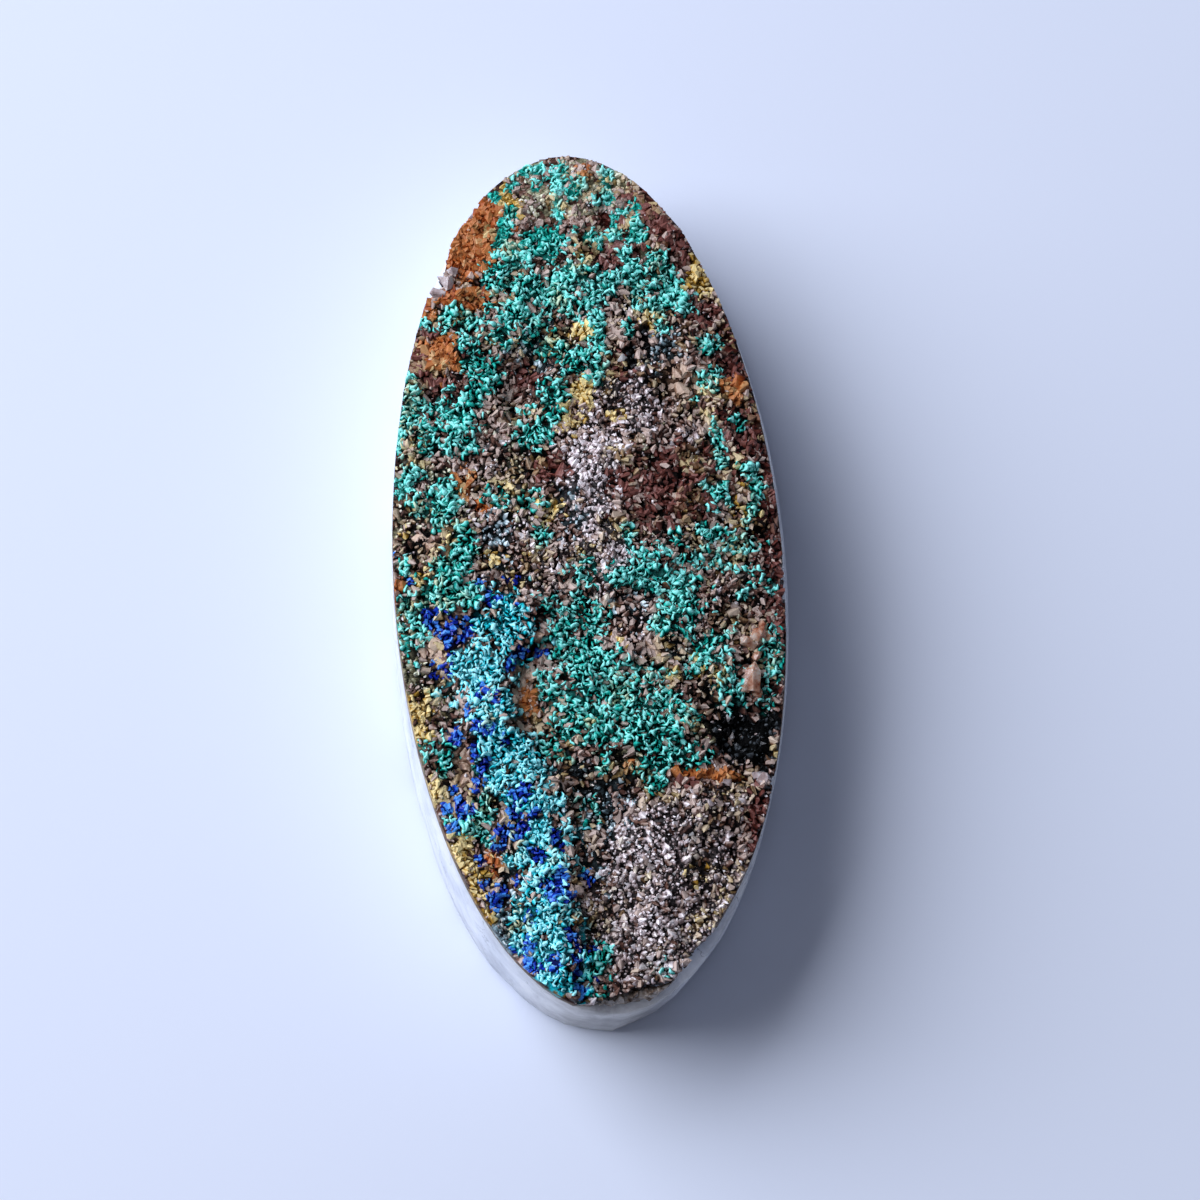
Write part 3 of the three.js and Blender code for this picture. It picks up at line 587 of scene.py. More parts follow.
COARSE_LUMPS = lump_texture("coarse lumps", COARSE_LUMP)
FINE_LUMPS = lump_texture("fine lumps", FINE_LUMP)
crust_ground = rough_ground("druse_crust", "crust_ground")
band_ground = rough_ground("malachite_band", "malachite_band_body")

# %% [markdown]
# ## Where a pixel falls on the stone
# A patch is known by its pixel, so the camera's line of sight through that pixel is followed down to the
# ground. One search tree over both grounds finds where the line meets them. Where a line misses, it is cut
# at the crust's middle height instead.

# %% Following a line of sight
CRUST_MIDDLE_HEIGHT = 7.3 * MM


def search_tree(pieces):
    """One search tree over several pieces, to find the surface under or over a place."""
    places, faces, start = [], [], 0
    for piece in pieces:
        places += [v.co.copy() for v in piece.data.vertices]
        faces += [[start + v for v in face.vertices] for face in piece.data.polygons]
        start = len(places)
    return BVHTree.FromPolygons(places, faces)


def cut_at_height(line, height):
    """Where a line of sight passes a height."""
    return EYE + line * (height - EYE.z) / line.z


def seen_place(px, py):
    """The place on the crust that the camera sees at a pixel of the photograph."""
    line = sight_line(px, py)
    hit = GROUND.ray_cast(EYE, line)[0]
    if hit is None or hit.z < BODY_TOP:
        hit = cut_at_height(line, CRUST_MIDDLE_HEIGHT)
    return hit


GROUND = search_tree([crust_ground, band_ground])
middle_seen = seen_place(PHOTO_SIDE / 2, PHOTO_SIDE / 2)
print("the photograph's middle falls on", [round(v / MM, 2) for v in middle_seen], "mm")

# %% [markdown]
# ## Chance that repeats
# The unevenness of a grown thing comes from arithmetic here, not from a random generator. The sine of a
# number, stretched far enough, has a fraction that looks random, and the same number always gives the same
# fraction. Blending such fractions between the corners of a grid gives soft noise.

# %% Chance and noise
CHANCE_STEPS = (12.9898, 78.233, 37.719)
CHANCE_STRETCH = 43758.5453
SEED_SHIFT_X, SEED_SHIFT_Y = 7.31, 3.17


def chance(*numbers):
    """Numbers between 0 and 1 that are the same each time for the same arrays."""
    mixed = sum(np.asarray(n) * k for n, k in zip(numbers, CHANCE_STEPS))
    wave = np.sin(mixed) * CHANCE_STRETCH
    return wave - np.floor(wave)


def noise(x, y, size, seed):
    """Soft noise between 0 and 1 whose lumps are about the given size."""
    u, v = x / size + seed * SEED_SHIFT_X, y / size + seed * SEED_SHIFT_Y
    i, j = np.floor(u), np.floor(v)
    fu, fv = u - i, v - j
    su, sv = fu * fu * (3 - 2 * fu), fv * fv * (3 - 2 * fv)
    low = chance(i, j, seed) * (1 - su) + chance(i + 1, j, seed) * su
    high = chance(i, j + 1, seed) * (1 - su) + chance(i + 1, j + 1, seed) * su
    return low * (1 - sv) + high * sv


print("two draws by chance:", chance(np.arange(2), 1).round(3))

# %% [markdown]
# ## Patches in place
# Each patch now gets its middle on the crust and its half-widths in metres. The azurite clusters of the CAD
# are added as patches of their own, so that blue crystals grow where each cluster stands.

# %% Patches on the crust
PIXELS_PER_MM = 22.3
CLUSTERS = sorted(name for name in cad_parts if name.startswith("azurite_cluster"))
CLUSTER_REACH, CLUSTER_COVER, CLUSTER_TONE = 0.45, 0.8, 0.25


def cluster_patch(cluster):
    """A patch of azurite in the middle of a CAD cluster."""
    low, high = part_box(cluster)
    half = (high - low) / 2
    return (
        MINERALS.index("azurite"), (low + high) / 2, CLUSTER_REACH * half.x, CLUSTER_REACH * half.y,
        CLUSTER_COVER, CLUSTER_TONE,
    )


PLACED = [
    (
        MINERALS.index(name), seen_place(px, py), wide * MM / PIXELS_PER_MM, long * MM / PIXELS_PER_MM,
        cover, tone,
    )
    for name, patches in LAYERS
    for px, py, wide, long, cover, tone in patches
]
PLACED += [cluster_patch(cluster) for cluster in CLUSTERS]
print("patches placed:", len(PLACED))

# %% [markdown]
# ## Which mineral shows at a place
# Brown quartz is everywhere, and each patch in turn covers what lies under it. Two sizes of noise make a
# patch's edge ragged, and its cover thins out toward that edge, so that neighbouring minerals mix as they
# do on the stone.

# %% Minerals at a place
BROWN_TONE, BROWN_TONE_SWING, BROWN_TONE_LUMP = 0.42, 0.5, 1.5 * MM
# how far the noise moves an edge, in half-widths of the patch, the size of its lumps, and its seed
RAGGED_EDGES = [(0.9, 0.55 * MM, 1), (0.5, 0.25 * MM, 2)]
PATCH_END, PATCH_FADE = 1.5, 0.85


def minerals_at(x, y, spread):
    """The mineral and its lightness at each place; spread decides which share of a thin patch shows."""
    mineral = np.zeros(len(x), int)
    light = BROWN_TONE + BROWN_TONE_SWING * (noise(x, y, BROWN_TONE_LUMP, seed=5) - 0.5)
    ragged = sum(far * (noise(x, y, lump, seed) - 0.5) for far, lump, seed in RAGGED_EDGES)
    for kind, middle, wide, long, cover, tone in PLACED:
        away = np.hypot((x - middle.x) / wide, (y - middle.y) / long) + ragged
        share = cover * np.clip((PATCH_END - away) / PATCH_FADE, 0, 1)
        inside = spread < share
        mineral[inside] = kind
        light[inside] = tone
    return mineral, light


first_seen = minerals_at(np.array([middle_seen.x]), np.array([middle_seen.y]), np.array([0.5]))[0][0]
print("mineral in the middle of the photograph:", MINERALS[first_seen])

# %% [markdown]
# ## Colours of the minerals
# Each mineral's colour runs through a ramp of its own, from the painted shade in its cracks and at crystal
# feet to its palest crystal, which painted crest light reaches.
# Where iron has soaked into a crystal, a second ramp of yellowish browns takes over.

# %% Colour ramps
RAMPS = {
    "brown": [(0, "#0a0403"), (0.35, "#3c211a"), (0.65, "#745143"), (1, "#c2aca0")],
    "olive": [(0, "#0d0c08"), (0.35, "#625c42"), (0.65, "#a9a382"), (1, "#f0f0d8")],
    "sugar": [(0, "#100909"), (0.35, "#8c7672"), (0.65, "#d8c6c5"), (1, "#fbf3f3")],
    "grey": [(0, "#080b0c"), (0.35, "#5a6e74"), (0.65, "#9cb8c0"), (1, "#ebfbff")],
    "tan": [(0, "#20120b"), (0.35, "#6b4b38"), (0.65, "#9c7a62"), (1, "#dcbfa8")],
    "redbrown": [(0, "#080202"), (0.35, "#2c0d09"), (0.65, "#542117"), (1, "#7c4c44")],
    "rust": [(0, "#240c03"), (0.35, "#762c08"), (0.65, "#a24c14"), (1, "#ba7440")],
    "ochre": [(0, "#2b1c06"), (0.35, "#8a6420"), (0.65, "#c0963e"), (1, "#ecd69a")],
    "black": [(0, "#020202"), (0.5, "#101012"), (1, "#4c5256")],
    "turquoise": [(0, "#010f0c"), (0.3, "#06786a"), (0.6, "#1abcaa"), (1, "#9cfaf0")],
    "band": [(0, "#011a1c"), (0.3, "#02909a"), (0.6, "#1ad0dc"), (1, "#aefcff")],
    "azurite": [(0, "#01042a"), (0.35, "#071a88"), (0.7, "#123cbe"), (1, "#4a94e8")],
}
IRON_STAIN = [(0, "#100903"), (0.35, "#4e3b1a"), (0.65, "#8a6e3a"), (1, "#dcc892")]


def ramp_colour(mineral, tone):
    """The linear colour of a mineral's ramp at each tone."""
    stops = RAMPS[mineral]
    places = [place for place, colour in stops]
    colours = np.array([linear(colour) for place, colour in stops])
    return np.stack([np.interp(tone, places, colours[:, channel]) for channel in range(4)], axis=1)


print("colour ramps:", len(RAMPS))

# %% [markdown]
# ## Finishes of the minerals
# Quartz is glassy, with an IOR near 1.5, but most of it here is dulled by a film of iron oxide, and the
# copper minerals are fine fibres and powder that mirror almost nothing. Roughness says how sharp a glint
# is, and gloss how strong, where 0.5 is clean quartz. The foot of a crystal lies in shade, so it is read
# further down the ramp, as painted shade.

# %% Mineral finishes
# the fourth field is the painted shade at a crystal's foot: how far down the ramp the foot is read
Finish = namedtuple("Finish", "name roughness gloss darker_foot stained_share")
FINISHES = {
    # a thin brown coat over glass: it glints only on fresh faces
    "brown": Finish("iron-stained quartz, grown", 0.45, 0.25, 1.35, 0.35),
    # a film like old varnish, which takes the sparkle away
    "olive": Finish("olive-coated quartz, grown", 0.45, 0.25, 1.25, 0.35),
    # clean small crystals, white where their many faces meet
    "sugar": Finish("sugar quartz, grown", 0.25, 0.5, 1.3, 0.45),
    # smoky inside, with a cool bluish sheen
    "grey": Finish("smoky quartz, grown", 0.3, 0.35, 1.15, 0.3),
    # rubbed tops with little relief, nearly dull
    "tan": Finish("tan quartz, worn", 0.5, 0.3, 0.7, 0.3),
    # a dark brick red with a satin surface
    "redbrown": Finish("hematite-stained quartz, grown", 0.4, 0.25, 1.3, 0.1),
    # warm orange, and as dull as rust on iron
    "rust": Finish("goethite-stained quartz, grown", 0.45, 0.25, 0.9, 0.15),
    # yellow earth that lies on the crystals and doesn't shine
    "ochre": Finish("limonite, powdery", 0.55, 0.1, 1.0, 0.0),
    # nearly black, partly a dark coat and partly painted shade of the hollow, so only small sharp glints show
    "black": Finish("dark quartz with painted hollow shade, grown", 0.25, 0.3, 1.1, 0.0),
    # velvet of fine fibres, bright where it faces the light
    "turquoise": Finish("chrysocolla and malachite, grown", 0.7, 0.12, 1.3, 0.08),
    # the same velvet, thicker and paler
    "band": Finish("pale malachite, grown", 0.7, 0.12, 1.3, 0.02),
    # glassy blades, so deep a blue that they look black in shade
    "azurite": Finish("azurite, grown", 0.3, 0.3, 1.1, 0.0),
}
print("dullest finish:", max(FINISHES.values(), key=lambda finish: finish.roughness).name)

# %% [markdown]
# ## Materials of the minerals
# One function makes every mineral's material. A crystal's place on the ramp is an attribute, tone, so that
# no two neighbours are the same; the tone also carries painted light at each crest and painted shade at
# each foot. Grain of about 0.15 mm, finer than a crystal, moves the tone within it and gives its faces a
# slight bump.

# %% Mineral materials
GRAIN_SWING = 1.1
MIX = {"data_type": "RGBA"}
MULTIPLY = {"data_type": "RGBA", "blend_type": "MULTIPLY"}


def mineral_material(mineral):
    """A mineral's look: its own ramp read at the crystal's tone, broken up by noise finer than a crystal."""
    finish = FINISHES[mineral]
    material, shader = new_material(
        finish.name, Roughness=finish.roughness, IOR=1.5, Specular_IOR_Level=finish.gloss,
    )
    # the tone holds each crystal's own lightness plus painted crest light and painted foot shade
    tone = add_node(material, "ShaderNodeAttribute", {"attribute_name": "tone"})
    stain = add_node(material, "ShaderNodeAttribute", {"attribute_name": "stain"})
    place = add_node(material, "ShaderNodeTexCoord")
    grain = add_node(
        material, "ShaderNodeTexNoise", Vector=place.outputs["Object"], Scale=per_mm(7), Detail=2.0,
        Roughness=0.65,
    )
    shift = add_node(
        material, "ShaderNodeMath", {"operation": "MULTIPLY_ADD"}, _0=grain.outputs["Fac"],
        _1=GRAIN_SWING, _2=-GRAIN_SWING / 2,
    )
    total = add_node(
        material, "ShaderNodeMath", {"operation": "ADD"}, _0=tone.outputs["Fac"], _1=shift.outputs["Value"],
    )
    clean, stained = [
        add_node(material, "ShaderNodeValToRGB", stops=stops, Fac=total.outputs["Value"]).outputs["Color"]
        for stops in (RAMPS[mineral], IRON_STAIN)
    ]
    colour = add_node(material, "ShaderNodeMix", MIX, _0=stain.outputs["Fac"], _6=clean, _7=stained)
    give(material, shader, "Base Color", colour.outputs[2])
    bump = add_node(
        material, "ShaderNodeBump", Strength=0.7, Distance=0.05 * MM, Height=grain.outputs["Fac"],
    )
    give(material, shader, "Normal", bump.outputs["Normal"])
    return material


MATERIALS = {mineral: mineral_material(mineral) for mineral in MINERALS}
print("mineral materials:", len(MATERIALS))

# %% [markdown]
# ## Painted shade between the crystals
# The ground is seen only in the gaps between crystals, where it is dark, so its colour is darkened as
# painted shade. It could be one dark colour, but then every gap would look the same. Instead each vertex
# takes the colour of the mineral above it, darkened. Toward the rim and at the far end, where the coat is
# closed and velvety, the painted shade is lifted and the ground shows in full light.

# %% Painting the ground
# share of the mineral colour left under the painted shade between crystals; 1 means no painted shade
DARKEST_PAINTED_SHADE = 0.08
PAINTED_SHADE_BY_MINERAL = {"turquoise": 0.32, "band": 0.38, "rust": 0.3, "ochre": 0.4, "azurite": 0.3, "tan": 0.5}
GAP_PAINTED_SHADE = np.array([PAINTED_SHADE_BY_MINERAL.get(name, DARKEST_PAINTED_SHADE) for name in MINERALS])
NO_PAINTED_SHADE = 1.0
RIM_FROM, RIM_OVER = 0.94, 0.04
# the crust's low side at the rim is painted one pale brown: its own colour, and painted light where it lies
# in shade
FOOT_HEIGHT, FOOT_FROM = 0.3 * MM, 0.93
SIDE_COLOUR_AND_PAINTED_LIGHT = "#a39486"
GROUND_TONE_SWING = 0.5
CALM_FROM, CALM_OVER = 13.0 * MM, 3.5 * MM


def calm_at(x, y):
    """How closed and velvety the coat is: 1 at the far end of the stone, 0 from the middle on."""
    return np.clip((y - CALM_FROM) / CALM_OVER, 0, 1)


def paint_ground(piece):
    """Writes each vertex's mineral colour, darkened as painted shade between crystals, into a colour
    attribute.
    """
    places = corners_of(piece)
    x, y = places[:, 0], places[:, 1]
    mineral, light = minerals_at(x, y, noise(x, y, 0.3 * MM, seed=9))
    tone = np.clip(light + GROUND_TONE_SWING * (noise(x, y, 0.22 * MM, seed=11) - 0.5), 0, 1)
    colours = np.ones((len(places), 4))
    for kind, name in enumerate(MINERALS):
        chosen = mineral == kind
        colours[chosen] = ramp_colour(name, tone[chosen])
    rim = np.clip((face_reach(x, y) - RIM_FROM) / RIM_OVER, 0, 1)
    # painted shade between crystals, lifted toward the rim and at the far end
    shade = GAP_PAINTED_SHADE[mineral] + (NO_PAINTED_SHADE - GAP_PAINTED_SHADE[mineral]) * np.maximum(calm_at(x, y), rim)
    colours[:, :3] *= shade[:, None]
    # pale brown on the crust's low side: the edge's own colour, partly painted light over its shade
    side_painted_light = (places[:, 2] < BODY_TOP + FOOT_HEIGHT) & (face_reach(x, y) > FOOT_FROM)
    colours[side_painted_light] = linear(SIDE_COLOUR_AND_PAINTED_LIGHT)
    layer = piece.data.color_attributes.new("painted shade on mineral colour", "FLOAT_COLOR", "POINT")
    layer.data.foreach_set("color", colours.astype(np.float32).ravel())
    print(piece.name, "vertices painted:", len(places))


paint_ground(crust_ground)
paint_ground(band_ground)

# %% [markdown]
# ## The ground's material and its place in the frame
# The ground is fine-grained quartz, dull because it is never a clean face. Its painted colour, the mineral
# colour with painted shade between the crystals, is broken by dark specks of about 0.2 mm. The two grounds
# stand in for the CAD crust and the CAD band.


# %% Ground material
def ground_material():
    """The crust between its crystals: the mineral colour with its painted shade, and fine dark specks."""
    material, shader = new_material("druse ground, grown", Roughness=0.7, IOR=1.5, Specular_IOR_Level=0.08)
    painted = add_node(material, "ShaderNodeAttribute", {"attribute_name": "painted shade on mineral colour"})
    place = add_node(material, "ShaderNodeTexCoord")
    specks = add_node(
        material, "ShaderNodeTexNoise", Vector=place.outputs["Object"], Scale=per_mm(5), Detail=3.0,
        Roughness=0.7,
    )
    shade = add_node(
        material, "ShaderNodeValToRGB", stops=[(0.35, "#8a8a8a"), (0.6, "#ffffff")],
        Fac=specks.outputs["Fac"],
    )
    mixed = add_node(
        material, "ShaderNodeMix", MULTIPLY, _0=1.0, _6=painted.outputs["Color"], _7=shade.outputs["Color"],
    )
    give(material, shader, "Base Color", mixed.outputs[2])
    bump = add_node(
        material, "ShaderNodeBump", Strength=0.6, Distance=0.06 * MM, Height=specks.outputs["Fac"],
    )
    give(material, shader, "Normal", bump.outputs["Normal"])
    return material


GROUND_MATERIAL = ground_material()
for ground_piece in (crust_ground, band_ground):
    ground_piece.data.materials.append(GROUND_MATERIAL)
    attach(ground_piece, "root")
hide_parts("druse_crust")
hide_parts("malachite_band")
print("grounds in place:", crust_ground.name, "and", band_ground.name)

# %% [markdown]
# ## Crystals to copy
# Five small shapes stand for what grows here: a six-sided quartz point, a double point, a broken chunk, a
# curled malachite flake and an azurite blade. Each is modelled once from a primitive about one unit wide,
# with few faces, because it is copied thousands of times. The helpers cover what the shapes share.

# %% Helpers for the shapes
END_FACING = 0.9


def start_block():
    """Adds a cube one unit wide, and turns to edit mode."""
    bpy.ops.object.select_all(action="DESELECT")
    bpy.ops.mesh.primitive_cube_add(size=1, location=(0, 0, 0))
    bpy.ops.object.mode_set(mode="EDIT")


def cut_corners(cuts):
    """Cuts off what lies past each plane, given as a point on it and its way outwards, and closes the cut."""
    for point, outwards in cuts:
        bpy.ops.mesh.select_all(action="SELECT")
        bpy.ops.mesh.bisect(plane_co=point, plane_no=outwards, use_fill=True, clear_outer=True)


def select_end(way):
    """Selects the flat end that faces up (1) or down (-1), and turns to edit mode."""
    bpy.ops.object.mode_set(mode="EDIT")
    bpy.ops.mesh.select_all(action="DESELECT")
    bpy.ops.object.mode_set(mode="OBJECT")
    for face in bpy.context.active_object.data.polygons:
        face.select = face.normal.z * way > END_FACING
    bpy.ops.object.mode_set(mode="EDIT")
    bpy.ops.mesh.select_mode(type="FACE")


def finish_shape(name):
    """Takes the active object's mesh as points and faces, and removes the object."""
    piece = bpy.context.active_object
    bpy.ops.object.mode_set(mode="EDIT")
    bpy.ops.mesh.select_all(action="SELECT")
    bpy.ops.mesh.quads_convert_to_tris()
    bpy.ops.mesh.normals_make_consistent(inside=False)
    bpy.ops.object.mode_set(mode="OBJECT")
    points = corners_of(piece)
    faces = np.array(sorted(list(face.vertices) for face in piece.data.polygons))
    bpy.data.objects.remove(piece)
    print(name, "faces:", len(faces))
    return points, faces


SHAPES = {}
print("shapes to make: point, double, chunk, flake and blade")

# %% [markdown]
# ## Quartz points
# A quartz crystal is a six-sided prism that ends in a pyramid, seldom quite straight. The prism is a
# cylinder of six sides whose end is extruded and drawn together beside its axis. Short crystals have no
# prism, only two pyramids base to base, which is a cone of six sides with a second one extruded from its
# base.

# %% Quartz points
TIP_MOVE = (0.06, 0.03, 0.42)
TIP_WIDTH = 0.12
PYRAMID_HEIGHT = 0.5


def quartz_point():
    """A six-sided prism one unit wide, with its upper end drawn to a point."""
    bpy.ops.object.select_all(action="DESELECT")
    bpy.ops.mesh.primitive_cylinder_add(vertices=6, radius=0.5, depth=1.0, location=(0, 0, 0))
    select_end(1)
    bpy.ops.mesh.extrude_region_move(TRANSFORM_OT_translate={"value": TIP_MOVE})
    bpy.ops.transform.resize(value=(TIP_WIDTH, TIP_WIDTH, 1))
    bpy.ops.mesh.merge(type="CENTER")
    return finish_shape("quartz point")


def double_point():
    """Two six-sided pyramids base to base, as short quartz crystals are."""
    bpy.ops.object.select_all(action="DESELECT")
    bpy.ops.mesh.primitive_cone_add(
        vertices=6, radius1=0.5, radius2=0, depth=PYRAMID_HEIGHT, location=(0, 0, PYRAMID_HEIGHT / 2),
    )
    select_end(-1)
    bpy.ops.mesh.extrude_region_move(TRANSFORM_OT_translate={"value": (0, 0, -PYRAMID_HEIGHT)})
    bpy.ops.mesh.merge(type="CENTER")
    return finish_shape("double point")


SHAPES["point"] = quartz_point()
SHAPES["double"] = double_point()

# %% [markdown]
# ## Broken chunk
# Most crystals of a crust have no room to form a point and show only a few crooked faces. A block with two
# corners bisected away gives such faces.


# %% Broken chunk
def broken_chunk():
    """A block with corners cut off, like a crystal that has no room to form a point."""
    start_block()
    cut_corners([((0.3, 0.2, 0.3), (1, 0.5, 1.1)), ((-0.3, -0.2, 0.25), (-0.8, -0.9, 1.5))])
    return finish_shape("broken chunk")


SHAPES["chunk"] = broken_chunk()

# %% [markdown]
# ## Malachite flake
# The turquoise coat is a felt of small curls that stand on edge. Spheres would look like beads. A thin
# block is cut twice across its length instead, then its middle is moved outwards and upwards, and its crest
# and ends are made thinner.

# %% Malachite flake
FLAKE_THICK = 0.46
FLAKE_CUTS = (-0.2, 0.2)
CREST_FROM, CREST_THINNER = 0.3, 0.6
END_THICK, MIDDLE_THICKER = 0.5, 0.65
CURL_OUT, CURL_BACK, CURL_UP = 0.34, 0.1, 0.3


def malachite_flake():
    """A thick curl that stands on edge: bent along its length, narrower at its crest and its ends."""
    start_block()
    for cut in FLAKE_CUTS:
        bpy.ops.mesh.select_all(action="SELECT")
        bpy.ops.mesh.bisect(plane_co=(cut, 0, 0), plane_no=(1, 0, 0))
    bpy.ops.mesh.select_all(action="SELECT")
    bpy.ops.transform.resize(value=(1, FLAKE_THICK, 1))
    bpy.ops.object.mode_set(mode="OBJECT")
    for corner in bpy.context.active_object.data.vertices:
        inward = 1 - 2 * abs(corner.co.x)
        crest = CREST_THINNER if corner.co.z > CREST_FROM else 1.0
        thinner = corner.co.y * crest * (END_THICK + MIDDLE_THICKER * inward)
        corner.co.y = thinner + CURL_OUT * inward - CURL_BACK
        corner.co.z += CURL_UP * inward
    bpy.ops.object.mode_set(mode="EDIT")
    return finish_shape("malachite flake")


SHAPES["flake"] = malachite_flake()

# %% [markdown]
# ## Azurite blade
# Azurite grows in short flat blades with a chisel edge. A block is made flatter, and two bisects cut the
# slope of the edge and one corner.

# %% Azurite blade
BLADE_THICK = 0.55


def azurite_blade():
    """A flat block with a chisel edge."""
    start_block()
    bpy.ops.mesh.select_all(action="SELECT")
    bpy.ops.transform.resize(value=(1, BLADE_THICK, 1))
    cut_corners([((0, 0.1, 0.5), (0, 1, 0.9)), ((0.42, 0, 0.42), (1, 0, 1))])
    return finish_shape("azurite blade")


SHAPES["blade"] = azurite_blade()

# %% [markdown]
# ## Habits of the crystals
# Each mineral grows in its own habit: a shape, a size, and how closely and how upright its crystals stand.
# Sizes are the real ones, about 0.2 to 0.4 mm. Some minerals have two habits, larger lumps among smaller
# crystals. Fines are the smallest crystals, which grow on all the others.

# %% Crystal habits
HABITS = {
    # piece, shape, width in mm, height as a share of width, lean in degrees, sunk share, spacing in mm
    "brown": [
        ("lumps", "chunk", 0.36, 0.7, 40, 0.6, 0.5),
        ("crystals", "chunk", 0.22, 1.2, 50, 0.4, 0.212),
    ],
    "olive": [("crystals", "double", 0.26, 1.5, 65, 0.34, 0.22)],
    "sugar": [
        ("crystals", "double", 0.32, 1.4, 66, 0.34, 0.31),
        ("grains", "double", 0.235, 1.6, 70, 0.26, 0.225),
    ],
    "grey": [("crystals", "double", 0.27, 1.5, 65, 0.36, 0.225)],
    "tan": [("lumps", "chunk", 0.42, 0.45, 16, 0.66, 0.28)],
    "redbrown": [
        ("lumps", "chunk", 0.38, 0.7, 40, 0.58, 0.5),
        ("crystals", "chunk", 0.22, 1.15, 46, 0.42, 0.212),
    ],
    "rust": [
        ("lumps", "chunk", 0.36, 0.7, 40, 0.55, 0.36),
        ("crystals", "chunk", 0.21, 1.1, 46, 0.42, 0.19),
    ],
    "ochre": [("crystals", "chunk", 0.21, 1.2, 55, 0.4, 0.19)],
    "black": [("crystals", "double", 0.27, 1.5, 50, 0.44, 0.23)],
    "turquoise": [
        ("flakes", "flake", 0.27, 1.0, 42, 0.26, 0.212),
        ("grains", "chunk", 0.17, 1.2, 45, 0.35, 0.32),
    ],
    "band": [
        ("flakes", "flake", 0.27, 1.0, 42, 0.26, 0.208),
        ("grains", "chunk", 0.17, 1.2, 45, 0.35, 0.32),
    ],
    "azurite": [("crystals", "blade", 0.22, 1.1, 52, 0.34, 0.17)],
}
FINES = ("fines", "double", 0.13, 1.8, 70, 0.1, 0.2)
LEAST_FINES = 0.04
FINES_ON = {"sugar": 0.6, "grey": 0.4, "olive": 0.3, "brown": 0.2, "redbrown": 0.1, "turquoise": 0.06}
FINES_SHARE = np.array([FINES_ON.get(name, LEAST_FINES) for name in MINERALS])
print("habits:", sum(len(habits) for habits in HABITS.values()), "and the fines")

# %% [markdown]
# ## Places for the crystals
# Crystals on a crust stand about evenly, because each needs room, but never in rows. A triangular net
# spaced by the crystal's size gives the evenness, and shaking every place hides the rows. Each random trait
# of a crystal has its own draw, so that a change to one leaves the others as they were.

# %% Net of places
TRAITS = (
    "shift across", "shift along", "cover", "width", "lean", "way", "depth", "height", "tone", "spin",
    "fine tone", "fine share", "rust",
)
ROW_SPACING = 0.866
SHAKE = 0.7
NET_END = 0.997


def draw(trait, index, seed):
    """One number between 0 and 1 for each crystal, drawn for one of its traits."""
    return chance(index, seed, 1 + TRAITS.index(trait))


def net_of_places(spacing, seed):
    """A shaken triangular net of places over the whole face."""
    low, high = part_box("druse_crust")
    rows = np.arange(low.y, high.y, spacing * ROW_SPACING)
    columns = np.arange(low.x, high.x, spacing)
    x, y = np.meshgrid(columns, rows)
    x = x + (np.arange(len(rows)) % 2)[:, None] * spacing / 2
    x, y = x.ravel(), y.ravel()
    index = np.arange(len(x))
    x = x + spacing * SHAKE * (draw("shift across", index, seed) - 0.5)
    y = y + spacing * SHAKE * (draw("shift along", index, seed) - 0.5)
    kept = face_reach(x, y) < NET_END * rim_limit(x, y)
    return x[kept], y[kept], index[kept]


print("places in a net of 0.3 mm:", len(net_of_places(0.3 * MM, 1)[0]))

# %% [markdown]
# ## The ground under a place
# A crystal stands on the ground and leans partly the way the ground faces. A ray straight down finds both.

# %% Ground under a place
SEARCH_FROM = 20 * MM
LEAST_GROUND = BODY_TOP + 0.1 * MM


def on_ground(x, y):
    """The ground's height and facing under each place, and which places have ground."""
    down = Vector((0, 0, -1))
    heights, facings, found = np.zeros(len(x)), np.zeros((len(x), 3)), np.zeros(len(x), bool)
    for i, (px, py) in enumerate(zip(x, y)):
        hit, facing, _, _ = GROUND.ray_cast(Vector((px, py, SEARCH_FROM)), down)
        if hit is not None and hit.z > LEAST_GROUND:
            heights[i], facings[i], found[i] = hit.z, facing, True
    return heights, facings, found


middle_height = on_ground(np.zeros(1), np.zeros(1))[0][0]
print("ground in the middle at", round(middle_height / MM, 2), "mm")

# %% [markdown]
# ## Copies of a shape
# Thousands of crystals are too many for an object each, so the copies of a shape are worked out as arrays
# and joined. Every copy has its own size, axis and spin, and each of its corners is moved a little by
# chance, so that no two crystals are alike. What would hang over the rim is drawn back to it.

# %% Copies of a shape
# over how wide a range each corner of a copy is moved, as a share of the copy's size
SHAKEN = {"point": 0.1, "double": 0.16, "chunk": 0.22, "flake": 0.26, "blade": 0.16}
CORNER_DRAWS = 40
LOWEST = BODY_TOP + 0.02 * MM
HIGHEST = CAD_BOX[1].z - 0.01 * MM


def turned(points, axis, spin):
    """Copies of a shape's points, each with its own upward axis and spin about it."""
    axis = axis / np.linalg.norm(axis, axis=1, keepdims=True)
    side = np.stack([np.cos(spin), np.sin(spin), np.zeros(len(spin))], axis=1)
    first = side - axis * (side * axis).sum(1, keepdims=True)
    first /= np.linalg.norm(first, axis=1, keepdims=True)
    second = np.cross(axis, first)
    turn = np.stack([first, second, axis], axis=2)
    return np.einsum("nij,nkj->nki", turn, points)


def inside_rim(vertices):
    """Vertices with those past the rim, under the crust or over the CAD box moved back to it."""
    reach = face_reach(vertices[:, 0], vertices[:, 1])
    over = np.maximum(reach / rim_limit(vertices[:, 0], vertices[:, 1]), 1)[:, None]
    middle = np.array([FACE_MIDDLE.x, FACE_MIDDLE.y])
    vertices[:, :2] = middle + (vertices[:, :2] - middle) / over
    vertices[:, 2] = np.clip(vertices[:, 2], LOWEST, HIGHEST)
    return vertices


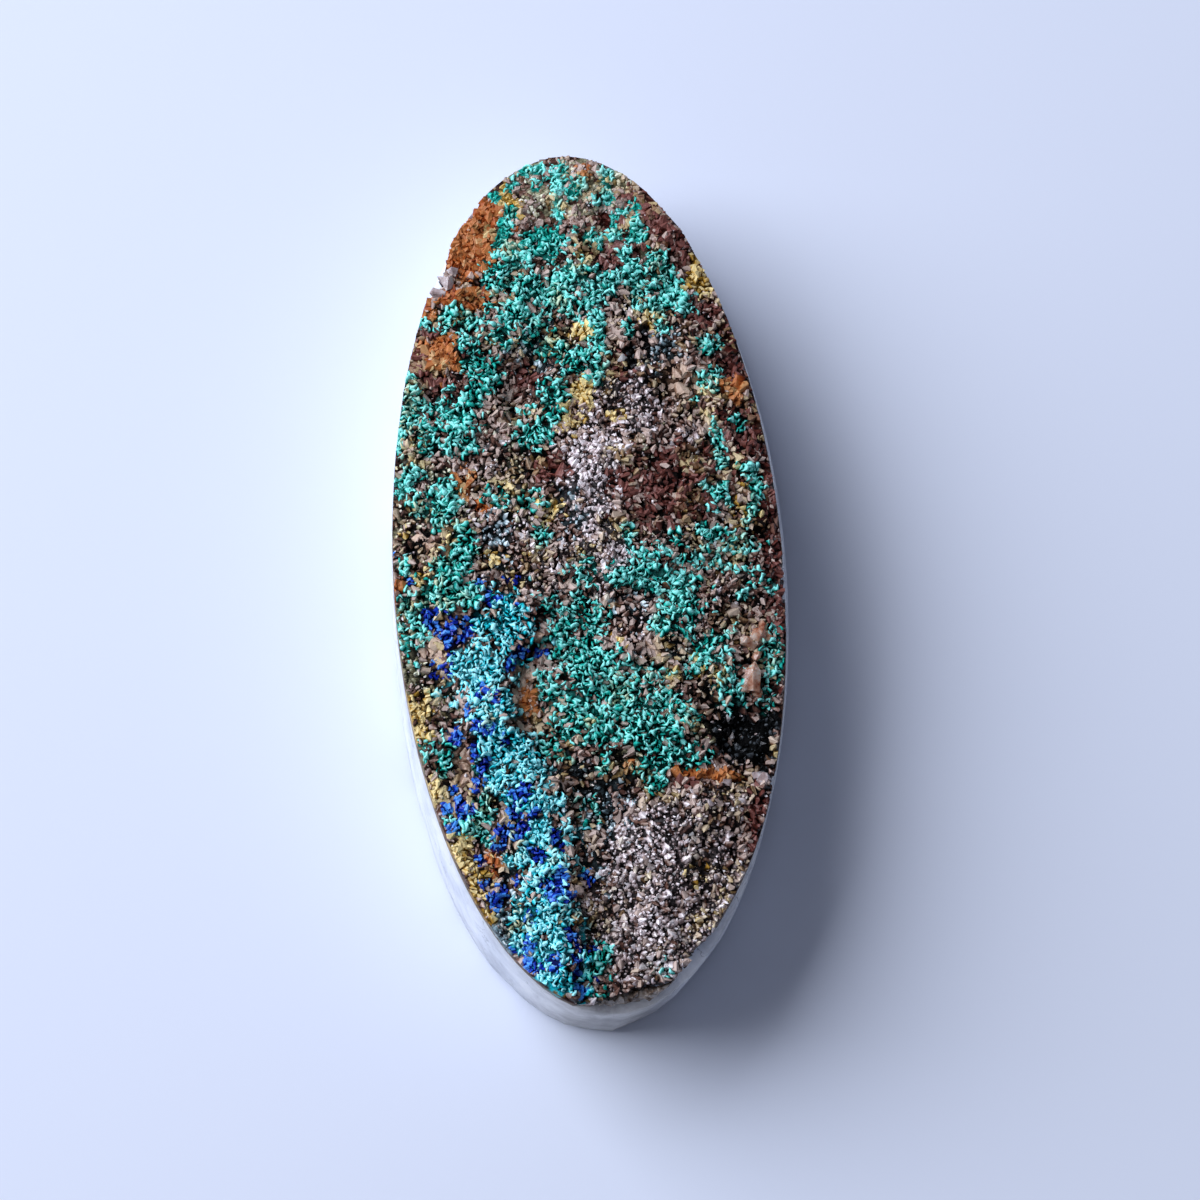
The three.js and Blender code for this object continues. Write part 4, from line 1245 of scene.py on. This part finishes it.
def copied_corners(shape, copies):
    """The corners of all copies of a shape, in metres, one copy after another."""
    points = SHAPES[shape][0]
    copy = np.arange(len(copies["places"]))[:, None, None]
    corner = np.arange(len(points))[None, :, None]
    side = np.arange(3)[None, None]
    shaken = points[None] + SHAKEN[shape] * (chance(copy, corner, CORNER_DRAWS + side) - 0.5)
    corners = turned(shaken * copies["sizes"][:, None, :], copies["axes"], copies["spins"])
    return inside_rim((corners + copies["places"][:, None, :]).reshape(-1, 3))


print("crystals are kept between", round(LOWEST / MM, 2), "and", round(HIGHEST / MM, 2), "mm")

# %% [markdown]
# ## One mesh of many copies
# The joined mesh carries what the materials read: each corner's tone and stain. The tone rises from a
# crystal's foot to its crest, as light does among crowded crystals: painted shade at the foot and painted
# light at the crest. Flat shading lets each face catch the light alone. Only the soft malachite flakes are
# shaded smooth.


# %% One mesh of many copies
def mesh_of(name, vertices, triangles):
    """A mesh from arrays of vertices and triangles."""
    mesh = bpy.data.meshes.new(name)
    mesh.vertices.add(len(vertices))
    mesh.vertices.foreach_set("co", vertices.astype(np.float32).ravel())
    mesh.loops.add(triangles.size)
    mesh.loops.foreach_set("vertex_index", triangles.ravel())
    mesh.polygons.add(len(triangles))
    mesh.polygons.foreach_set("loop_start", np.arange(0, triangles.size, 3))
    mesh.update(calc_edges=True)
    return mesh


def write_attribute(mesh, name, values):
    """Gives each vertex of a mesh a number for its material to read."""
    layer = mesh.attributes.new(name, "FLOAT", "POINT")
    layer.data.foreach_set("value", values.astype(np.float32).ravel())


def joined_copies(name, shape, copies, material):
    """Many copies of one shape as a single piece; copies holds an array for each trait, with a row a copy."""
    points, faces = SHAPES[shape]
    starts = np.arange(len(copies["places"])) * len(points)
    mesh = mesh_of(name, copied_corners(shape, copies), (faces[None] + starts[:, None, None]).reshape(-1, 3))
    upward = (points[:, 2] - points[:, 2].min()) / np.ptp(points[:, 2])
    # painted light toward each crystal's crest and painted shade toward its foot
    shift = upward[None] * copies["painted_crest_light"][:, None] - (1 - upward[None]) * copies["painted_foot_shade"][:, None]
    write_attribute(mesh, "tone", copies["tones"][:, None] + shift)
    write_attribute(mesh, "stain", np.repeat(copies["stains"], len(points)))
    if shape == "flake":
        mesh.shade_smooth()
    else:
        mesh.shade_flat()
    mesh.materials.append(material)
    piece = bpy.data.objects.new(name, mesh)
    bpy.context.collection.objects.link(piece)
    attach(piece, "root")
    return piece


print("corners of a copied flake:", len(SHAPES["flake"][0]))

# %% [markdown]
# ## Which places a mineral takes
# A place is kept where the patches say that the mineral shows, and where there is ground. Azurite is parted
# further: its crystals on a cluster of the CAD become a piece of their own, so that each cluster stays a
# piece that can be told from the rest.

# %% Places of a mineral
FINE_TONE_LEAST, FINE_TONE_CHANCE = 0.2, 0.7


def places_taken(mineral, seed, habit):
    """Places of one mineral, with index, lightness, height and facing. Fines take a share of all."""
    x, y, index = net_of_places(habit[-1] * MM, seed)
    kind, light = minerals_at(x, y, draw("cover", index, seed))
    chosen = kind == MINERALS.index(mineral)
    if habit is FINES:
        light = FINE_TONE_LEAST + FINE_TONE_CHANCE * draw("fine tone", index, seed)
        chosen = draw("fine share", index, seed) < FINES_SHARE[kind]
    x, y, index, light = x[chosen], y[chosen], index[chosen], light[chosen]
    height, facing, found = on_ground(x, y)
    return x[found], y[found], index[found], light[found], height[found], facing[found]


def groups_of(name, x, y):
    """Azurite crystals are parted by the CAD cluster they stand on. Other minerals stay in one group."""
    free = np.ones(len(x), bool)
    if name == "azurite_crystals":
        for cluster in CLUSTERS:
            low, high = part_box(cluster)
            inside = free & (x > low.x) & (x < high.x) & (y > low.y) & (y < high.y)
            if inside.any():
                yield cluster + "_crystals", inside
                free &= ~inside
    yield name, free


print("places for azurite:", len(places_taken("azurite", 1, HABITS["azurite"][0])[0]))

# %% [markdown]
# ## How crystals stand
# Crystals grow in clumps: where one is large, its neighbours are too. So their size follows a soft noise
# and, less, chance. They lean any way, most of them only a little, and are sunk into the ground by a share
# of their height. At the far end of the stone they are lower.

# %% Sizes and leans
CLUMP_LUMP, CLUMP_RISE, CLUMP_MIDDLE = 0.42 * MM, 0.16 * MM, 0.6
WIDTH_LEAST, WIDTH_CHANCE, WIDTH_CLUMP = 0.5, 0.55, 0.5
DEPTH_LEAST, DEPTH_CHANCE = 0.75, 0.5
HEIGHT_LEAST, HEIGHT_CHANCE = 0.7, 0.7
GROUND_FACING = 0.5
CALM_LOWER = 0.5


def upright_lean(lean, way):
    """Directions that lean from upright by an angle, toward a way on the ground."""
    return np.stack([np.sin(lean) * np.cos(way), np.sin(lean) * np.sin(way), np.cos(lean)], axis=-1)


def standing(habit, x, y, index, seed, height, facing):
    """How each crystal stands: its place, axis, spin and sizes."""
    _, _, width, tall, lean, sunk, _ = habit
    clump = noise(x, y, CLUMP_LUMP, seed=34)
    size = width * MM * (WIDTH_LEAST + WIDTH_CHANCE * draw("width", index, seed) + WIDTH_CLUMP * clump)
    deep = size * (DEPTH_LEAST + DEPTH_CHANCE * draw("depth", index, seed))
    taller = HEIGHT_LEAST + HEIGHT_CHANCE * draw("height", index, seed)
    up = size * tall * taller * (1 - CALM_LOWER * calm_at(x, y))
    tip = np.radians(lean) * np.sqrt(draw("lean", index, seed))
    level = height + up * (0.5 - sunk) + CLUMP_RISE * (clump - CLUMP_MIDDLE)
    return {
        "places": np.stack([x, y, level], axis=1),
        "axes": upright_lean(tip, 2 * np.pi * draw("way", index, seed)) + GROUND_FACING * facing,
        "spins": 2 * np.pi * draw("spin", index, seed),
        "sizes": np.stack([size, deep, up], axis=1),
    }


print("leaning 30 degrees toward +X:", upright_lean(np.radians(30), np.radians(0)).round(2))

# %% [markdown]
# ## How light or rusty a crystal is
# A crystal's tone is its patch's lightness, moved by cloudy noise of three sizes and by chance. On top of
# it come painted light at the crest and painted shade at the foot. At the far end the coat is closed: its
# crystals differ less, their feet get little painted shade and their crests less painted light, and the
# whole is lighter. Rust comes in clouds about a millimetre wide.

# %% Tones and stains
# how strongly a cloud changes the tone, the size of its lumps, and its seed
CLOUDS = [(0.36, CLUMP_LUMP, 34), (0.22, 0.9 * MM, 31), (0.26, 1.9 * MM, 32)]
TONE_LIFT, TONE_CHANCE, CALM_CHANCE = 0.05, 1.15, 0.75
# painted light on crests, and how much of it and of the painted foot shade is lost at the far end
PAINTED_CREST_LIGHT, CALM_WEAKER_CREST_LIGHT, CALM_WEAKER_FOOT_SHADE = 0.46, 0.6, 0.88
CALM_LIGHTER = {"brown": 0.34, "redbrown": 0.42, "turquoise": 0.06, "band": 0.06}
CALM_LIGHTER_ELSE = 0.14
RUST_LUMP, RUST_CHANCE, RUST_LIMIT, RUST_SHARPNESS = 1.1 * MM, 0.6, 0.75, 2


def colouring(mineral, x, y, index, seed, light):
    """Each crystal's tone, its painted crest light and painted foot shade, and how rusty it is."""
    finish, calm = FINISHES[mineral], calm_at(x, y)
    cloudy = sum(strength * (noise(x, y, lump, number) - 0.5) for strength, lump, number in CLOUDS)
    lighter = CALM_LIGHTER.get(mineral, CALM_LIGHTER_ELSE) * calm
    by_chance = (TONE_CHANCE - CALM_CHANCE * calm) * (draw("tone", index, seed) - 0.5)
    rusty = noise(x, y, RUST_LUMP, seed=33) + RUST_CHANCE * (draw("rust", index, seed) - 0.5)
    rust = np.clip(RUST_SHARPNESS * (rusty - RUST_LIMIT + finish.stained_share / 2), 0, 1)
    return {
        "tones": np.clip(light + cloudy + TONE_LIFT + lighter + by_chance, 0, 1),
        "painted_crest_light": PAINTED_CREST_LIGHT * (1 - CALM_WEAKER_CREST_LIGHT * calm),
        "painted_foot_shade": finish.darker_foot * (1 - CALM_WEAKER_FOOT_SHADE * calm),
        "stains": rust * (finish.stained_share > 0),
    }


print("crest lighter and brown foot darker by", PAINTED_CREST_LIGHT, "and", FINISHES["brown"].darker_foot)

# %% [markdown]
# ## Growing all the crystals
# Every mineral gets its own net of places, spread over its patches and joined in one piece. The seed goes
# up by one for each habit, so that no two nets are the same.

# %% Spread crystals
FIRST_SEED, FINES_SEED = 21, 50


def spread_crystals(mineral, seed, habit):
    """All crystals of one mineral and habit, each joined in one piece, or one a cluster for azurite."""
    x, y, index, light, height, facing = places_taken(mineral, seed, habit)
    copies = standing(habit, x, y, index, seed, height, facing)
    copies |= colouring(mineral, x, y, index, seed, light)
    pieces = []
    for name, members in groups_of(mineral + "_" + habit[0], x, y):
        group = {trait: values[members] for trait, values in copies.items()}
        pieces.append(joined_copies(name, habit[1], group, MATERIALS[mineral]))
    print(name, "copies:", len(x), "triangles:", sum(len(piece.data.polygons) for piece in pieces))
    return pieces


seeds = itertools.count(FIRST_SEED)
grown = {
    mineral: [piece for habit in habits for piece in spread_crystals(mineral, next(seeds), habit)]
    for mineral, habits in HABITS.items()
}
grown["fines"] = spread_crystals("sugar", FINES_SEED, FINES)
all_grown = [piece for pieces in grown.values() for piece in pieces]
print("triangles in all crystals:", sum(len(piece.data.polygons) for piece in all_grown))

# %% [markdown]
# ## The quartz body
# The sides and back were ground on a wheel, in slightly flat facets whose edges then wore round. The CAD
# body already has the facets, so a copy of it is merged back to whole faces, its sharp edges get a small
# bevel, and its flat angles are shaded smooth.

# %% Quartz body
WORN_EDGE = 0.12 * MM
WORN_FROM_ANGLE = math.radians(30)
SMOOTH_UNDER_ANGLE = math.radians(25)

body = copy_of("quartz_body", "quartz_body_ground")
only(body)
bpy.ops.object.mode_set(mode="EDIT")
bpy.ops.mesh.select_all(action="SELECT")
bpy.ops.mesh.tris_convert_to_quads()
bpy.ops.object.mode_set(mode="OBJECT")
bevel = body.modifiers.new("worn edges", "BEVEL")
bevel.width = WORN_EDGE
bevel.segments = 2
bevel.limit_method = "ANGLE"
bevel.angle_limit = WORN_FROM_ANGLE
bpy.ops.object.modifier_apply(modifier=bevel.name)
bpy.ops.object.shade_smooth_by_angle(angle=SMOOTH_UNDER_ANGLE)
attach(body, "root")
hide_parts("quartz_body")
print("quartz body faces:", len(body.data.polygons))

# %% [markdown]
# ## Veils and cracks in the quartz
# Milky quartz is clouded by tiny bubbles that lie in veils a few millimetres across, so a soft noise runs
# from grey to white. Old cracks show as short grey lines. A Voronoi pattern's edges are such lines, bent by
# the veils, but a closed net of them would look like tiles. A second noise lets them show only here and
# there.

# %% Veils and cracks
CRACK_CELL_MM = 2.0
CRACK_BEND = 2.5 * MM
CRACK_STRENGTH = 0.8


def crack_lines(material, place, veils, cloudy):
    """The cloudy colour with short grey crack lines on it."""
    bent = add_node(
        material, "ShaderNodeVectorMath", {"operation": "MULTIPLY_ADD"}, _0=veils.outputs["Color"],
        _1=(CRACK_BEND, CRACK_BEND, CRACK_BEND), _2=place.outputs["Object"],
    )
    cracks = add_node(
        material, "ShaderNodeTexVoronoi", {"feature": "DISTANCE_TO_EDGE"}, Vector=bent.outputs["Vector"],
        Scale=per_mm(1 / CRACK_CELL_MM),
    )
    line = add_node(
        material, "ShaderNodeValToRGB", stops=[(0.0, "#6f7480"), (0.02, "#ffffff")],
        Fac=cracks.outputs["Distance"],
    )
    areas = add_node(
        material, "ShaderNodeTexNoise", Vector=place.outputs["Object"], Scale=per_mm(0.55), Detail=1.0,
    )
    shown = add_node(
        material, "ShaderNodeMapRange", Value=areas.outputs["Fac"], From_Min=0.46, From_Max=0.6, To_Min=0.0,
        To_Max=CRACK_STRENGTH,
    )
    return add_node(
        material, "ShaderNodeMix", MULTIPLY, _0=shown.outputs["Result"], _6=cloudy, _7=line.outputs["Color"],
    ).outputs[2]


print("cracks lie about", CRACK_CELL_MM, "mm apart")

# %% [markdown]
# ## A stain at the near end and painted shadow at the seat
# Where the stone thins to its near end, it is brownish, and its lowest edge, where it sits on the card, is
# greyer, as a painted contact shadow. Both are colours that fade in along the body's own axes, so they stay
# put however the stone is turned.

# %% Stain and painted seat shadow of the body
NEAR_END_FROM, NEAR_END_FULL, NEAR_END_STRENGTH = -17.8 * MM, -19.4 * MM, 0.7
# painted contact shadow where the stone sits: full up to the first height, gone by the second
SEAT_SHADOW_FULL, SEAT_SHADOW_END = 0.02 * MM, 0.3 * MM


def near_end_stain_and_seat_shadow(material, place, veils, cracked):
    """The cracked colour made brownish toward the near end, and greyer at the seat as a painted contact
    shadow.
    """
    apart = add_node(material, "ShaderNodeSeparateXYZ", Vector=place.outputs["Object"])
    near_end = add_node(
        material, "ShaderNodeMapRange", Value=apart.outputs["Y"], From_Min=NEAR_END_FROM,
        From_Max=NEAR_END_FULL, To_Min=0.0, To_Max=NEAR_END_STRENGTH,
    )
    brownish = add_node(
        material, "ShaderNodeValToRGB", stops=[(0.35, "#6e6556"), (0.5, "#9d968a"), (0.68, "#d2cfca")],
        Fac=veils.outputs["Fac"],
    )
    stained = add_node(
        material, "ShaderNodeMix", MIX, _0=near_end.outputs["Result"], _6=cracked,
        _7=brownish.outputs["Color"],
    )
    above_seat = add_node(
        material, "ShaderNodeMapRange", Value=apart.outputs["Z"], From_Min=SEAT_SHADOW_FULL, From_Max=SEAT_SHADOW_END,
        To_Min=0.0, To_Max=1.0,
    )
    painted_seat_shadow = add_node(
        material, "ShaderNodeValToRGB", stops=[(0.0, "#7f848f"), (1.0, "#ffffff")],
        Fac=above_seat.outputs["Result"],
    )
    return add_node(
        material, "ShaderNodeMix", MULTIPLY, _0=1.0, _6=stained.outputs[2], _7=painted_seat_shadow.outputs["Color"],
    ).outputs[2]


print("the near end is stained over", round((NEAR_END_FROM - NEAR_END_FULL) / MM, 1), "mm")

# %% [markdown]
# ## Milky quartz
# Ground milky quartz is neither matt nor clear. Light enters and scatters over several millimetres, blue a
# little further, so it looks white in the light and soft grey where it turns away. That is subsurface
# scattering. The grinding leaves a satin gloss and scratches under half a millimetre.

# %% Milky quartz
SCATTER = (6.5 * MM, 6.5 * MM, 6.8 * MM)


def milky_quartz():
    """White and cloudy, with grey veils, broken cracks and a brownish near end."""
    material, shader = new_material(
        "milky quartz, ground", Roughness=0.3, IOR=1.54, Subsurface_Weight=0.9, Subsurface_Scale=1.0,
        Subsurface_Radius=SCATTER,
    )
    place = add_node(material, "ShaderNodeTexCoord")
    veils = add_node(
        material, "ShaderNodeTexNoise", Vector=place.outputs["Object"], Scale=per_mm(0.45), Detail=5.0,
        Roughness=0.65, Distortion=0.3,
    )
    cloudy = add_node(
        material, "ShaderNodeValToRGB", Fac=veils.outputs["Fac"],
        stops=[(0.3, "#a9aeb9"), (0.45, "#cdd3de"), (0.6, "#e6ebf5"), (0.75, "#f6f9ff")],
    )
    cracked = crack_lines(material, place, veils, cloudy.outputs["Color"])
    give(material, shader, "Base Color", near_end_stain_and_seat_shadow(material, place, veils, cracked))
    scratches = add_node(
        material, "ShaderNodeTexNoise", Vector=place.outputs["Object"], Scale=per_mm(2.5), Detail=3.0,
        Roughness=0.6,
    )
    bump = add_node(
        material, "ShaderNodeBump", Strength=0.35, Distance=0.05 * MM, Height=scratches.outputs["Fac"],
    )
    give(material, shader, "Normal", bump.outputs["Normal"])
    return material


body.data.materials.append(milky_quartz())
print("body material:", body.data.materials[0].name)

# %% [markdown]
# ## Azurite clusters
# The blue crystals were spread by cluster, so each cluster of the CAD is replaced by its own joined
# crystals.

# %% Clusters
for piece in grown["azurite"]:
    cluster = piece.name.removesuffix("_crystals")
    if cluster in CLUSTERS:
        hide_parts(cluster)
print("azurite pieces:", [piece.name for piece in grown["azurite"]])

# %% [markdown]
# ## Cloudy quartz
# The larger single crystals let some light through and are cloudy inside. Real transmission alone would
# show the dark crust behind them, so it is mixed with scattering over half a millimetre. The colour comes
# from the iron in them. Grown faces and fresh breaks are both glassy, so both get a low roughness.


# %% Cloudy quartz
def cloudy_quartz(name, colours, scatter):
    """Quartz that is cloudy inside; scatter is how many mm its red, green and blue light reach."""
    material, shader = new_material(
        name, Roughness=0.16, IOR=1.54, Transmission_Weight=0.3, Subsurface_Weight=0.35, Subsurface_Scale=1.0,
        Subsurface_Radius=[reach * MM for reach in scatter],
    )
    place = add_node(material, "ShaderNodeTexCoord")
    clouds = add_node(
        material, "ShaderNodeTexNoise", Vector=place.outputs["Object"], Scale=per_mm(2.2), Detail=3.0,
        Roughness=0.6,
    )
    stops = list(zip((0.35, 0.5, 0.66), colours))
    colour = add_node(material, "ShaderNodeValToRGB", stops=stops, Fac=clouds.outputs["Fac"])
    give(material, shader, "Base Color", colour.outputs["Color"])
    return material


PEACH_QUARTZ = cloudy_quartz("peach quartz, grown", ("#984e2e", "#d09c80", "#f8e0d0"), (0.6, 0.4, 0.3))
WHITE_QUARTZ = cloudy_quartz("white quartz, grown", ("#a39690", "#ddd3cf", "#ffffff"), (0.5, 0.45, 0.45))
PINKISH_QUARTZ = cloudy_quartz("pinkish quartz, broken", ("#9b8580", "#cdbab8", "#efe4e4"), (0.5, 0.4, 0.4))
BROWN_QUARTZ = cloudy_quartz("brown quartz, broken", ("#5e4738", "#a08c7c", "#dccfc4"), (0.5, 0.4, 0.3))
print("materials so far:", len(bpy.data.materials))

# %% [markdown]
# ## Where the single crystals stand
# Near the right rim stand two quartz crystals far larger than the rest, peach-coloured by iron. A few
# smaller ones, white or pinkish, stand apart on the crust and in the chips of the rim. A last row lies
# along the chip at the near end, where the crust broke off the body.

# %% Places of the single crystals
# pixel x and y, width and length in mm, way it points in degrees from +X, lean in degrees from upright
LARGE_CRYSTALS = {
    "quartz_crystal_1": [
        (757, 640, 0.7, 1.0, 60, 60), (749, 644, 0.5, 0.8, 150, 62), (757, 655, 0.45, 0.7, 250, 55),
        (765, 640, 0.4, 0.7, 10, 60), (762, 630, 0.45, 0.7, 80, 66),
    ],
    "quartz_crystal_2": [
        (752, 682, 0.85, 1.35, 84, 78), (748, 686, 0.55, 0.8, 230, 62), (756, 691, 0.5, 0.7, 290, 66),
    ],
}
WHITE_CRYSTALS = [
    (622, 357, 0.5, 0.75, 100, 30), (602, 431, 0.5, 0.9, 80, 60), (615, 328, 0.3, 0.5, 40, 50),
    (650, 866, 0.5, 0.8, 120, 50), (530, 874, 0.6, 1.0, 70, 62), (527, 880, 0.5, 0.8, 250, 60),
    (545, 800, 0.3, 0.5, 300, 55), (628, 843, 0.35, 0.6, 20, 60), (655, 900, 0.35, 0.6, 200, 60),
    (645, 968, 0.4, 0.8, 340, 70), (700, 803, 0.4, 0.7, 80, 65), (598, 470, 0.3, 0.55, 150, 60),
    (583, 455, 0.3, 0.5, 30, 60), (610, 885, 0.35, 0.6, 310, 62), (594, 905, 0.35, 0.7, 90, 66),
    (690, 835, 0.35, 0.6, 220, 62), (732, 735, 0.3, 0.6, 75, 66), (727, 716, 0.3, 0.6, 100, 60),
    (590, 490, 0.3, 0.5, 200, 60), (600, 510, 0.3, 0.5, 340, 60), (640, 825, 0.3, 0.6, 150, 64),
]
PINKISH_CRYSTALS = [
    (446, 284, 0.7, 0.6, 200, 70), (438, 294, 0.6, 0.6, 240, 70), (452, 272, 0.4, 0.5, 170, 60),
    (470, 213, 0.5, 0.5, 140, 60), (475, 207, 0.4, 0.5, 130, 60), (764, 780, 0.5, 0.6, 330, 70),
    (757, 776, 0.35, 0.6, 10, 80), (727, 783, 0.3, 0.6, 180, 80),
]
CHIP_START_X, CHIP_START_Y = 604, 1001
CHIP_STEP_X, CHIP_STEP_Y = 5.2, -0.85
CHIP_COUNT = 14
CHIP_WIDTH, CHIP_WIDTH_CHANCE, CHIP_LENGTH = 0.42, 0.14, 0.6
CHIP_TURN, CHIP_LEAN = 40, 40
CHIP_CRYSTALS = [
    (
        CHIP_START_X + CHIP_STEP_X * step, CHIP_START_Y + CHIP_STEP_Y * step,
        CHIP_WIDTH + CHIP_WIDTH_CHANCE * chance(step, 5), CHIP_LENGTH, CHIP_TURN * step, CHIP_LEAN,
    )
    for step in range(CHIP_COUNT)
]
print("crystals in the chip's row:", len(CHIP_CRYSTALS))

# %% [markdown]
# ## Making the single crystals
# They are copies of the same shapes, joined like the rest, but each with its own length, lean and way.
# Those on the crust are seen down to its ground, and those in the chip down to the flat top of the body.

# %% Single crystals
NARROWER, SHORTER = 0.8, 0.7
TURN_DRAW = 77


def body_place(px, py):
    """The place on the body's flat top that the camera would see at a pixel of the photograph."""
    return cut_at_height(sight_line(px, py), BODY_TOP)


def single_crystals(name, crystals, shape, material, sunk=0.3, on_crust=True):
    """A few crystals at places of their own, joined in one piece."""
    seen = np.array([(seen_place if on_crust else body_place)(px, py) for px, py, *_ in crystals])
    width, length, way, lean = np.array([rest for px, py, *rest in crystals]).T
    width, length = width * MM, length * MM
    height, _, found = on_ground(seen[:, 0], seen[:, 1])
    height = np.where(found & on_crust, height, LEAST_GROUND)
    none = np.zeros(len(crystals))
    copies = {
        "places": np.stack([seen[:, 0], seen[:, 1], height + width * (0.5 - sunk)], axis=1),
        "axes": upright_lean(np.radians(lean), np.radians(way)),
        "spins": 2 * np.pi * chance(np.arange(len(crystals)), TURN_DRAW),
        "sizes": np.stack([width, width * NARROWER, length * SHORTER], axis=1),
        "tones": none + 1, "painted_crest_light": none, "painted_foot_shade": none, "stains": none,
    }
    print(name, "crystals:", len(crystals))
    return joined_copies(name, shape, copies, material)


for node, crystals in LARGE_CRYSTALS.items():
    large = single_crystals(node + "_points", crystals, "point", PEACH_QUARTZ, sunk=0.2)
    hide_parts(node)
single_crystals("white_quartz_points", WHITE_CRYSTALS, "double", WHITE_QUARTZ)
single_crystals("broken_quartz_in_chips", PINKISH_CRYSTALS, "chunk", PINKISH_QUARTZ)
single_crystals("broken_quartz_under_the_crust", CHIP_CRYSTALS, "chunk", BROWN_QUARTZ, on_crust=False)

# %% [markdown]
# ## Floor
# The stone lies on a pale bluish-white card. A plane far larger than the frame needs no edge. Matt card
# scatters light evenly and gives the shadow its soft outline.

# %% Floor
FLOOR_SIDE = 1.2

bpy.ops.object.select_all(action="DESELECT")
bpy.ops.mesh.primitive_plane_add(size=FLOOR_SIDE, location=(0, 0, 0))
floor = bpy.context.active_object
floor.name = "floor"
floor_material, _ = new_material("white card, matt", Roughness=0.9, Base_Color=linear("#e4eaf7"))
floor.data.materials.append(floor_material)
print("floor:", FLOOR_SIDE, "m wide")

# %% [markdown]
# ## Window
# One large soft window lights the stone from its left, as the long soft shadow to its right shows. An area
# light of the window's apparent size gives that shadow its soft edge.

# %% Window
WINDOW_SIDE = 0.46
WINDOW_DISTANCE = 0.45
WINDOW_HEIGHT = math.radians(35)
WINDOW_WAY = math.radians(153)
WINDOW_POWER = 4.0

window_data = bpy.data.lights.new("window", "AREA")
window_data.shape = "SQUARE"
window_data.size = WINDOW_SIDE
window_data.energy = WINDOW_POWER
window_data.color = linear("#ecf1ff")[:3]
window = bpy.data.objects.new("window", window_data)
bpy.context.collection.objects.link(window)
toward = Vector((
    math.cos(WINDOW_WAY) * math.cos(WINDOW_HEIGHT),
    math.sin(WINDOW_WAY) * math.cos(WINDOW_HEIGHT),
    math.sin(WINDOW_HEIGHT),
))
window.location = toward * WINDOW_DISTANCE
window.rotation_mode = "QUATERNION"
window.rotation_quaternion = toward.to_track_quat("Z", "Y")
print("window at", [round(v, 2) for v in window.location], "m")

# %% [markdown]
# ## Sky
# The rest of the room sends back a weak bluish light, which keeps the shaded side of the stone from going
# black. An even world colour is enough for it.

# %% Sky
SKY_STRENGTH = 0.165

world = bpy.data.worlds.new("sky")
world.use_nodes = True
background = world.node_tree.nodes["Background"]
background.inputs["Color"].default_value = linear("#dfe6ff")
background.inputs["Strength"].default_value = SKY_STRENGTH
bpy.context.scene.world = world
bpy.context.scene.view_settings.view_transform = "Standard"
print("sky strength:", SKY_STRENGTH)
